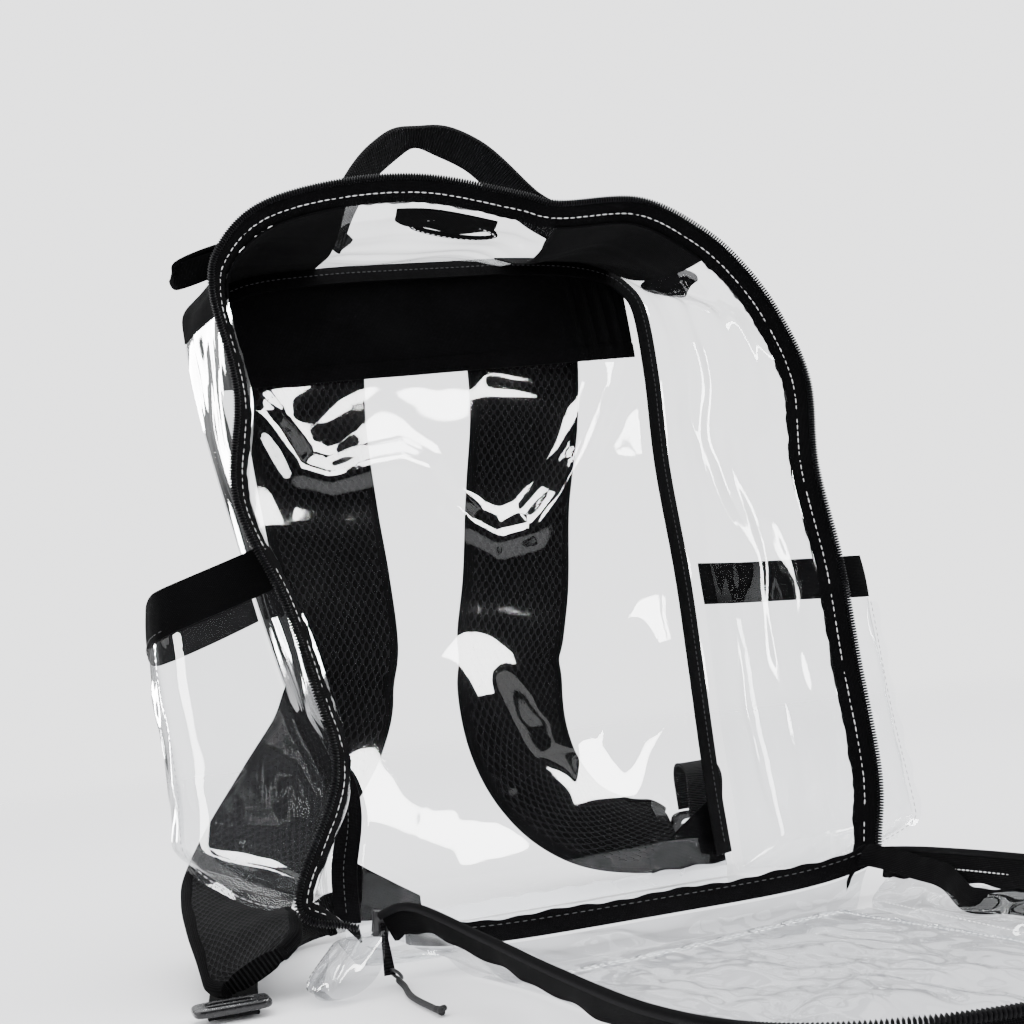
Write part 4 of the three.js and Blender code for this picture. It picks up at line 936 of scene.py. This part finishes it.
# Straps. Foam pads in black spacer mesh, bound along both edges and quilted once across. They are
# sewn in over the yoke; the left one turns forward under the pocket, the right one lies behind.
STRAP_WIDTH = 0.076
STRAP_THICK = 0.011
STRAPS = {
    "left": [
        (-100, 5, 414, 0, -1, 0), (-100, 9, 366, 0, -1, 0), (-101, 20, 318, 0, -1, 0),
        (-99, 24, 262, 0, -1, 0), (-98, 17, 212, 0, -1, 0), (-99, 24, 164, 0, -1, 0),
        (-112, 34, 122, 0.05, -1, 0.1), (-140, 40, 86, 0.2, -0.9, 0.4), (-166, 30, 58, 0.3, -0.6, 0.7),
        (-184, 0, 40, 0.3, -0.2, 0.87), (-191, -42, 34, 0.2, -0.1, 0.87), (-194, -88, 31, 0.0, -0.2, 0.9),
        (-196, -128, 27, -0.25, -0.35, 0.85), (-199, -162, 17, -0.5, -0.5, 0.75),
    ],
    "right": [
        (52, 4.9, 414, 0, -1, 0), (52, 9, 366, 0, -1, 0), (49, 20, 318, 0, -1, 0), (36, 24, 262, 0, -1, 0),
        (23, 17, 206, 0, -1, 0), (12, 24, 156, 0, -1, 0), (12, 34, 110, 0, -1, 0.1),
        (26, 45, 72, 0, -1, 0.3), (52, 52, 44, 0, -0.9, 0.6), (84, 54, 30, 0, -0.75, 0.8),
        (114, 54, 26, 0, -0.65, 0.85),
    ],
}


def behind(side, out, up):
    """A point behind the leaning back, from millimetres."""
    return (side / 1000, 0.075 + LEAN * up / 1000 + out / 1000, up / 1000)


def strip_frames(rows, steps):
    """Points, directions, faces and cross directions along a strip."""
    at = np.linspace(0, len(rows) - 1, steps)
    centre = smooth_line([behind(*r[:3]) for r in rows], at)
    return frames_on(centre, smooth_line([r[3:] for r in rows], at))


def frames_on(centre, look):
    """Directions, faces and cross directions for a line of points that looks the given ways."""
    way = np.gradient(centre, axis=0)
    way /= np.linalg.norm(way, axis=1, keepdims=True)
    face = look - way * (look * way).sum(1, keepdims=True)
    face /= np.linalg.norm(face, axis=1, keepdims=True)
    return centre, way, face, np.cross(face, way)


def swept(name, frames, section, scale=None):
    """Carries a closed section of (across, out) points along a strip and closes its ends."""
    centre, way, face, cross = frames
    section = np.asarray(section, float)
    if section.ndim == 2:
        section = np.broadcast_to(section, (len(centre), *section.shape))
    scale = np.ones(len(centre)) if scale is None else scale
    spots = (centre[:, None] + cross[:, None] * section[..., :1] * scale[:, None, None]
             + face[:, None] * section[..., 1:])
    count, sides = spots.shape[:2]
    index = np.arange(count * sides).reshape(count, sides)
    after = np.roll(index, -1, 1)
    faces = np.stack([index[:-1], after[:-1], after[1:], index[1:]], -1).reshape(-1, 4).tolist()
    faces.append(index[0][::-1].tolist())
    faces.append(index[-1].tolist())
    mesh = bpy.data.meshes.new(name)
    mesh.from_pydata(spots.reshape(-1, 3).tolist(), [], faces)
    run = np.concatenate([[0], np.cumsum(np.linalg.norm(np.diff(centre, axis=0), axis=1))])
    lay = np.stack([section[..., 0], np.broadcast_to(run[:, None], section.shape[:2])], -1).reshape(-1, 2)
    piece = finish_mesh(name, mesh, lay)
    return piece


def spacer_mesh(name, pitch, tall):
    """Black spacer mesh: a knitted net with rows of oval holes, painted near-black inside: the black layer
    below, and painted shade in the hollows.
    """
    made = bpy.data.materials.new(name)
    made.use_nodes = True
    net = made.node_tree
    skin = net.nodes["Principled BSDF"]
    skin.inputs["Roughness"].default_value = 0.75
    skin.inputs["Sheen Weight"].default_value = 0.008
    skin.inputs["Specular IOR Level"].default_value = 0.05
    lay = net.nodes.new("ShaderNodeUVMap")
    lay.uv_map = "lay"
    squeezed = net.nodes.new("ShaderNodeVectorMath")
    squeezed.operation = "MULTIPLY"
    squeezed.inputs[1].default_value = (1, pitch / tall, 1)
    net.links.new(lay.outputs[0], squeezed.inputs[0])
    nearest = []
    for shift in ((0, 0, 0), (pitch / 2, pitch / 2, 0)):
        moved = net.nodes.new("ShaderNodeVectorMath")
        moved.operation = "ADD"
        moved.inputs[1].default_value = shift
        net.links.new(squeezed.outputs[0], moved.inputs[0])
        wrapped = net.nodes.new("ShaderNodeVectorMath")
        wrapped.operation = "WRAP"
        wrapped.inputs[1].default_value = (pitch / 2, pitch / 2, 1)
        wrapped.inputs[2].default_value = (-pitch / 2, -pitch / 2, -1)
        net.links.new(moved.outputs[0], wrapped.inputs[0])
        far = net.nodes.new("ShaderNodeVectorMath")
        far.operation = "LENGTH"
        net.links.new(wrapped.outputs[0], far.inputs[0])
        nearest.append(far)
    least = net.nodes.new("ShaderNodeMath")
    least.operation = "MINIMUM"
    net.links.new(nearest[0].outputs["Value"], least.inputs[0])
    net.links.new(nearest[1].outputs["Value"], least.inputs[1])
    hole = net.nodes.new("ShaderNodeMapRange")
    hole.interpolation_type = "SMOOTHSTEP"
    hole.inputs["From Min"].default_value = pitch * 0.27
    hole.inputs["From Max"].default_value = pitch * 0.37
    net.links.new(least.outputs[0], hole.inputs["Value"])
    where = net.nodes.new("ShaderNodeTexCoord")
    knit = net.nodes.new("ShaderNodeTexNoise")
    knit.inputs["Scale"].default_value = 420
    net.links.new(where.outputs["Object"], knit.inputs["Vector"])
    light = net.nodes.new("ShaderNodeMath")
    light.operation = "MULTIPLY"
    net.links.new(hole.outputs[0], light.inputs[0])
    net.links.new(knit.outputs["Fac"], light.inputs[1])
    tone = net.nodes.new("ShaderNodeMix")
    tone.data_type = "RGBA"
    # Tone A fills the holes: near-black, partly the black layer below and partly painted shade in the
    # hollows.
    tone.inputs["A"].default_value = (0.0004, 0.0004, 0.0005, 1)
    tone.inputs["B"].default_value = (0.012, 0.012, 0.013, 1)
    net.links.new(light.outputs[0], tone.inputs["Factor"])
    net.links.new(tone.outputs["Result"], skin.inputs["Base Color"])
    relief = net.nodes.new("ShaderNodeBump")
    relief.inputs["Distance"].default_value = 0.0012
    net.links.new(hole.outputs[0], relief.inputs["Height"])
    net.links.new(relief.outputs[0], skin.inputs["Normal"])
    return made


strap_mesh = spacer_mesh("strap_mesh", 0.0054, 0.0086)
QUILT = {"left": 0.40, "right": 0.50}
for name, rows in STRAPS.items():
    frames = strip_frames(rows, 240)
    t = np.linspace(0, 1, 240)
    crease = np.exp(-(((t - QUILT[name]) / 0.008) ** 2))
    crease += np.exp(-(((t - 0.13) / 0.006) ** 2)) * 0.7
    scale = 1 - 0.06 * np.exp(-(((t - QUILT[name]) / 0.02) ** 2)) - 0.1 * np.clip((t - 0.1) / 0.2, 0, 1)
    scale = scale - 0.1 * np.clip((t - 0.5) / 0.2, 0, 1) - 0.2 * np.clip((t - 0.97) / 0.03, 0, 1) ** 2
    if name == "left":
        scale = scale - 0.16 * np.clip((t - 0.7) / 0.3, 0, 1)
    turn = np.linspace(0, 2 * np.pi, 45)[:-1]
    flat = np.sign(np.cos(turn)) * np.abs(np.cos(turn)) ** 0.55 * STRAP_WIDTH / 2
    puff = np.sign(np.sin(turn)) * np.abs(np.sin(turn)) ** 0.62 * STRAP_THICK / 2
    edge_dip = 1 - 0.28 * np.exp(-((np.abs(flat) - STRAP_WIDTH / 2 + 0.0095) / 0.0016) ** 2)
    section = np.stack([np.broadcast_to(flat, (240, 44)),
                        puff * edge_dip * (1 - 0.6 * crease[:, None])
                        * (1 + 0.06 * np.sin(t * 70)[:, None] * np.cos(flat * 90))], -1)
    pad = swept(f"{name}_strap_pad", frames, section, scale)
    join_in(pad, strap_mesh, "strap_mesh", f"strap_{name}")
    centre, way, face, cross = frames
    for hand, place in ((-1, "inner"), (1, "outer")):
        edge_line = centre + cross * (hand * (STRAP_WIDTH / 2 - 0.0018) * scale)[:, None]
        around = np.linspace(0, 2 * np.pi, 13)[:-1]
        trim = np.stack([0.0042 * np.cos(around), 0.0043 * np.sin(around)], -1)
        bound = swept(f"{name}_strap_edge_{place}", frames_on(edge_line, face), trim)
        join_in(bound, black_cloth, "cloth")

# Webbing and adjusters. Ribbed webbing runs from cloth corner tabs behind the foot to moulded
# adjusters at the ends of the straps.
WEB_WIDTH = 0.025
WEB_THICK = 0.002
WEBS = {
    "left": [
        (-116, 6, 17, 0, -1, 0), (-128, 8.8, 16, -0.1, -1, 0.1), (-138, 14, 12, -0.4, -0.7, 0.6),
        (-160, 4, 4.4, -0.1, -0.2, 1), (-188, -36, 2.6, 0, 0, 1), (-200, -80, 2.4, 0, 0, 1),
        (-208, -134, 2.4, 0, 0, 1), (-214, -186, 2.4, 0, 0, 1),
    ],
    "right": [
        (120, 5.2, 16, 0, -1, 0), (122, 6.5, 30, 0, -1, 0), (126, 12, 50, 0, -1, 0.1),
        (131, 20, 66, 0, -0.6, 0.8), (132, 36, 72, 0, 0.2, 1), (134, 50, 64, 0, 0.8, 0.7),
        (135, 54, 41, 0.1, 0.9, 0.4),
    ],
}


def ribbed_webbing(name, rib):
    """Black webbing with fine ribs across it and thicker selvedges."""
    made = bpy.data.materials.new(name)
    made.use_nodes = True
    net = made.node_tree
    skin = net.nodes["Principled BSDF"]
    skin.inputs["Roughness"].default_value = 0.62
    skin.inputs["Specular IOR Level"].default_value = 0.05
    skin.inputs["Sheen Weight"].default_value = 0.01
    lay = net.nodes.new("ShaderNodeUVMap")
    lay.uv_map = "lay"
    ribs = net.nodes.new("ShaderNodeTexWave")
    ribs.bands_direction = "Y"
    ribs.inputs["Scale"].default_value = 0.314 / rib
    ribs.inputs["Distortion"].default_value = 0.3
    net.links.new(lay.outputs[0], ribs.inputs["Vector"])
    where = net.nodes.new("ShaderNodeTexCoord")
    fluff = net.nodes.new("ShaderNodeTexNoise")
    fluff.inputs["Scale"].default_value = 260
    net.links.new(where.outputs["Object"], fluff.inputs["Vector"])
    both = net.nodes.new("ShaderNodeMath")
    both.operation = "MULTIPLY"
    net.links.new(ribs.outputs["Fac"], both.inputs[0])
    net.links.new(fluff.outputs["Fac"], both.inputs[1])
    tone = net.nodes.new("ShaderNodeMix")
    tone.data_type = "RGBA"
    tone.inputs["A"].default_value = (0.0018, 0.0018, 0.0020, 1)
    tone.inputs["B"].default_value = (0.011, 0.011, 0.012, 1)
    net.links.new(both.outputs[0], tone.inputs["Factor"])
    net.links.new(tone.outputs["Result"], skin.inputs["Base Color"])
    relief = net.nodes.new("ShaderNodeBump")
    relief.inputs["Distance"].default_value = 0.0007
    net.links.new(ribs.outputs["Fac"], relief.inputs["Height"])
    net.links.new(relief.outputs[0], skin.inputs["Normal"])
    return made


def web_section(width, thick):
    """The section of a webbing: flat, with rounded thicker edges."""
    half = width / 2
    lip = 0.0016
    upper = [(-half, 0), (-half + lip * 0.3, thick * 0.55), (-half + lip, thick * 0.5),
             (-half + 2 * lip, thick * 0.42), (0, thick * 0.42), (half - 2 * lip, thick * 0.42),
             (half - lip, thick * 0.5), (half - lip * 0.3, thick * 0.55), (half, 0)]
    return upper + [(a, -b) for a, b in reversed(upper[1:-1])]


webbing = ribbed_webbing("ribbed_webbing", 0.0017)
for name, rows in WEBS.items():
    web = swept(f"{name}_webbing", strip_frames(rows, 130), web_section(WEB_WIDTH, WEB_THICK))
    join_in(web, webbing, "webbing", f"webbing_{name}")
    sign = -1 if name == "left" else 1
    edge_side = SEAMS[0 if sign < 0 else -1, 2] * WIDTH - sign * 0.003
    u, v = mesh_grid(24, 30)
    side = edge_side - sign * u * 0.052
    up = 0.006 + v * (0.046 - 0.034 * u)
    share = (side - SEAMS[0, 2] * WIDTH) / ((SEAMS[-1, 2] - SEAMS[0, 2]) * WIDTH)
    p = back_panel_point(share, up)
    p[..., 1] += 0.0022 + 0.0003 * np.sin(u * 20)
    join_in(grid_piece(f"{name}_corner_tab", p, 0.0014), black_cloth, "cloth", f"strap_tab_{name}")

black_plastic = moulded("black_plastic", (0.0035, 0.0035, 0.0040, 1), 0.26, 300)


def adjuster(name, centre, face, node):
    """A ladder adjuster: a rounded frame with a middle bar and an upper lip."""
    face = Vector(face).normalized()
    cross = Vector((0, 0, 1)).cross(face)
    cross = cross.normalized() if cross.length > 0.05 else Vector((1, 0, 0))
    along = face.cross(cross)
    turn = Matrix((cross, along, face)).transposed()
    outer = []
    for k in range(32):
        t = math.tau * k / 32
        outer.append((0.019 * abs(math.cos(t)) ** 0.35 * math.copysign(1, math.cos(t)),
                      0.012 * abs(math.sin(t)) ** 0.35 * math.copysign(1, math.sin(t))))
    parts = []
    profile = ((-0.0020, 0.93), (-0.0012, 1.0), (0.0012, 1.0), (0.0020, 0.93), (0.0020, 0.62),
               (-0.0020, 0.62))
    for rise, grow in profile:
        parts.append([Vector((a * grow, b * grow, rise)) for a, b in outer])
    spots = [turn @ p + Vector(centre) for ring_of in parts for p in ring_of]
    faces = []
    for r in range(6):
        a, b = r * 32, ((r + 1) % 6) * 32
        faces += [(a + k, a + (k + 1) % 32, b + (k + 1) % 32, b + k) for k in range(32)]
    bar = [(-0.0125, -0.0016), (0.0125, -0.0016), (0.0125, 0.0016), (-0.0125, 0.0016)]
    base = len(spots)
    for rise in (-0.0016, 0.0019):
        spots += [turn @ Vector((a, b, rise)) + Vector(centre) for a, b in bar]
    faces += [(base + 3, base + 2, base + 1, base), (base + 4, base + 5, base + 6, base + 7)]
    faces += [(base + k, base + (k + 1) % 4, base + 4 + (k + 1) % 4, base + 4 + k) for k in range(4)]
    mesh = bpy.data.meshes.new(name)
    mesh.from_pydata([tuple(p) for p in spots], [], faces)
    piece = finish_mesh(name, mesh, np.array([(p.x, p.y) for p in spots]))
    soften = piece.modifiers.new("soften", "BEVEL")
    soften.width = 0.0007
    soften.segments = 2
    soften.limit_method = "ANGLE"
    return join_in(piece, black_plastic, "plastic", node)


adjuster("left_adjuster", (-0.214, -0.1040, 0.0058), (0, 0, 1), "adjuster_left")
adjuster("right_adjuster", (0.1352, 0.139, 0.0286), (0, 0.9, 0.5), "adjuster_right")

# Carrying loop. A length of the ribbed webbing, arched over the top, with its ends sewn down on
# the black corners and pinched together at the crest.
HANDLE = [(-77, 0, 4.2), (-84, 1, 12), (-72, 4, 36), (-51, 7, 61), (-22, 9, 77), (14, 7, 65), (46, 4, 38),
          (67, 1, 17), (61, 0, 4.4)]
tops = smooth_line(SEAMS[:, [2, 3]] * (WIDTH, HEIGHT), np.linspace(8, 17, 600))
places = []
for side, ahead_mm, rise in HANDLE:
    row = 8 + 9 * np.interp(side / 1000, tops[:, 0], np.linspace(0, 1, 600))
    ground = wall_point(row, 0.5)
    places.append((side / 1000, ground[1] + ahead_mm / 1000, ground[2] + rise / 1000))
at = np.linspace(0, len(places) - 1, 150)
centre = smooth_line(places, at)
middle = np.array([-0.008, places[4][1], places[0][2] + 0.022])
look = np.array(places) - middle
look[:, 1] = 0
look /= np.linalg.norm(look, axis=1, keepdims=True)
look[:, 1] = 0.75
pinch = 1 - 0.35 * np.exp(-((at - 4.0) / 0.35) ** 2)
handle = swept("carry_loop", frames_on(centre, smooth_line(look, at)), web_section(0.024, 0.003), pinch)
join_in(handle, webbing, "webbing", "grab_handle")

# Side loops. Short cloth strips folded double and caught in the upper side seams.
def side_loop(name, row, share, move, reach, fall, twist, node):
    root = wall_point(row, share) + np.array(move)
    a = 2 * np.pi * np.linspace(0, 1, 70) * 0.94 + np.pi * 0.06
    swing = (1 - np.cos(a)) / 2
    centre = root + np.stack([reach * swing, 0 * a, fall * swing + np.sin(a) * 0.0017], -1)
    look = np.stack([np.sign(reach) * -np.cos(a), twist * np.sin(a), np.sin(a)], -1)
    loop = swept(name, frames_on(centre, look), web_section(0.022, 0.0018))
    return join_in(loop, black_cloth, "cloth", node)


side_loop("left_side_loop", 8.65, 0.5, (-0.0039, 0, 0.0025), -0.034, -0.010, 0.55, "loop_left")
side_loop("right_side_loop", 15.80, 0.8, (0.0069, 0, 0.0046), 0.032, -0.006, 0.6, "loop_right")

# Cable port. A lens-shaped cloth ring, topstitched, round a slit in the clear top, with a small
# leaf-shaped cloth flap sewn over its front edge.
u, v = mesh_grid(120, 7)
a = v[:-1] * 2 * np.pi
u = u[:-1]
row = 11.4 + 0.52 * np.cos(a) * (0.86 + 0.14 * u)
p = wall_point(row, 0.19 + 0.1 * np.sin(a) * (0.62 + 0.38 * u))
p[..., 2] -= 0.0012 + 0.0006 * np.sin(np.pi * u)
join_in(grid_piece("port_ring_cloth", p, 0.0014, wrap=True), black_cloth, "cloth", "port_ring")
a = np.linspace(0, 2 * np.pi, 200)
line = wall_point(11.4 + 0.52 * np.cos(a) * 0.93, 0.19 + 0.1 * np.sin(a) * 0.81)
line[:, 2] -= 0.0026
points, way = spaced(line, 0.0036)
join_in(beads("port_stitches", points, way, (0, 0, 1), 0.0012, 0.00045, 0.0004), white_thread, "cloth")
u, v = mesh_grid(60, 14)
narrow = np.sqrt(np.sin(np.pi * (0.06 + 0.88 * v)))
p = wall_point(11.24 + 1.16 * (v - 0.5), 0.04 + 0.17 * narrow * u)
p[..., 2] -= 0.0014 + 0.0012 * np.minimum(1, u * 2.2) + 0.0008 * np.sin(v * 12) * u
join_in(grid_piece("port_flap_cloth", p, 0.0014), black_cloth, "cloth", "port_flap")

# Slider and its pull. A black painted slider parked at the left end of the rim, with a tapered
# webbing pull, a small ring, and a thin cord that lies on the floor and ends in a knot.
SLIDER = np.array([-0.403 * WIDTH, HINGE_Y - 0.005, HINGE_HEIGHT + 0.006])
black_paint = moulded("black_paint", (0.0050, 0.0050, 0.0055, 1), 0.32, 500)
black_paint.node_tree.nodes["Principled BSDF"].inputs["Coat Weight"].default_value = 0.4


def rounded_block(name, centre, size, tilt=0.0):
    """A block with rounded edges."""
    x, y, z = (s / 2 for s in size)
    corners = [(a, b, c) for a in (-x, x) for b in (-y, y) for c in (-z, z)]
    faces = [(0, 1, 3, 2), (4, 6, 7, 5), (0, 4, 5, 1), (2, 3, 7, 6), (0, 2, 6, 4), (1, 5, 7, 3)]
    turn = Matrix.Rotation(tilt, 3, "Y")
    mesh = bpy.data.meshes.new(name)
    mesh.from_pydata([tuple(turn @ Vector(c) + Vector(centre)) for c in corners], [], faces)
    piece = finish_mesh(name, mesh, np.zeros((8, 2)))
    soften = piece.modifiers.new("soften", "BEVEL")
    soften.width = min(size) * 0.32
    soften.segments = 3
    return piece


for part, (dy, thick) in {"front": (-0.0021, 0.0016), "rear": (0.0021, 0.0016)}.items():
    plate = rounded_block(f"slider_{part}", SLIDER + (0, dy, 0), (0.0082, thick, 0.0128), 0.2)
    join_in(plate, black_paint, "zip_metal", *(["slider"] if part == "front" else []))
bridge = rounded_block("slider_bridge", SLIDER, (0.0030, 0.0040, 0.0060), 0.2)
join_in(bridge, black_paint, "zip_metal")

top = SLIDER + (0, -0.0046, 0.0006)
centre = np.stack([top + np.array([0, -0.0002 * k, -0.0253 * k / 24]) for k in range(25)])
look = np.tile((0.0, -1.0, 0.0), (25, 1))
taper = np.linspace(0.45, 1.0, 25)
pull = swept("zip_pull", frames_on(centre, look), web_section(0.0062, 0.0026), taper)
join_in(pull, webbing, "webbing", "pull_tab")

turn = np.linspace(0, 2 * np.pi, 49)[:-1]
spin = Matrix.Rotation(0.4, 3, "Z") @ Matrix.Rotation(0.9, 3, "Y")
flat_ring = [spin @ Vector((0.0034 * math.cos(t), 0.0034 * math.sin(t), 0)) for t in turn]
axis = spin @ Vector((0, 0, 1))
around = np.linspace(0, 2 * np.pi, 13)[:-1]
grid = []
for spot in flat_ring:
    outward = spot.normalized()
    grid.append([tuple(Vector(SLIDER) + Vector((0.003, -0.0106, -0.0245)) + spot
                       + outward * 0.0009 * math.cos(t) + axis * 0.0009 * math.sin(t)) for t in around])
grid = np.array(grid)
count, sides = grid.shape[:2]
mesh = bpy.data.meshes.new("pull_ring_metal")
mesh.from_pydata(grid.reshape(-1, 3).tolist(), [],
                 [(i * sides + j, i * sides + (j + 1) % sides, ((i + 1) % count) * sides + (j + 1) % sides,
                   ((i + 1) % count) * sides + j) for i in range(count) for j in range(sides)])
small_ring = finish_mesh("pull_ring_metal", mesh, np.zeros((count * sides, 2)))
join_in(small_ring, black_paint, "zip_metal", "pull_ring")

CORD_WAY = [(0.003, 0.0145, 0.003), (0.003, 0.028, 0.0020), (0.000, 0.060, 0.0020), (0.003, 0.105, 0.0020)]
cord_points = [(SLIDER[0] + a, SLIDER[1] - b, c) for a, b, c in CORD_WAY]
route = smooth_line(cord_points, np.linspace(0, 3, 24))
cord_curve = bpy.data.curves.new("pull_cord_line", "CURVE")
cord_curve.dimensions = "3D"
spline = cord_curve.splines.new("POLY")
spline.points.add(len(route) - 1)
for point, spot in zip(spline.points, route):
    point.co = (*spot, 1)
cord_curve.bevel_depth = 0.0016
cord_curve.bevel_resolution = 3
cord_curve.use_fill_caps = True
cord = bpy.data.objects.new("pull_cord_line", cord_curve)
bpy.context.scene.collection.objects.link(cord)
braid = moulded("cord_braid", (0.0050, 0.0050, 0.0055, 1), 0.75, 1500)
join_in(cord, braid, "webbing", "pull_cord")
knot_centre = Vector(route[-1]) + Vector((0, 0.003, 0.0006))
bights = [Vector((0.0009 * math.cos(t), 0.0016 * math.sin(t), 0.0002)) for t in (0.4, 2.4, 4.6)]
points = np.array([knot_centre + bight for bight in bights])
way = np.array([(0.8, 0.3, 0.1), (-0.5, 0.8, 0.1), (-0.2, -0.9, 0.2)])
way /= np.linalg.norm(way, axis=1, keepdims=True)
knot = beads("cord_knot", points, way, (0, 0, 1), 0.0030, 0.0017, 0.0015, rings=5, sides=10)
join_in(knot, braid, "webbing")
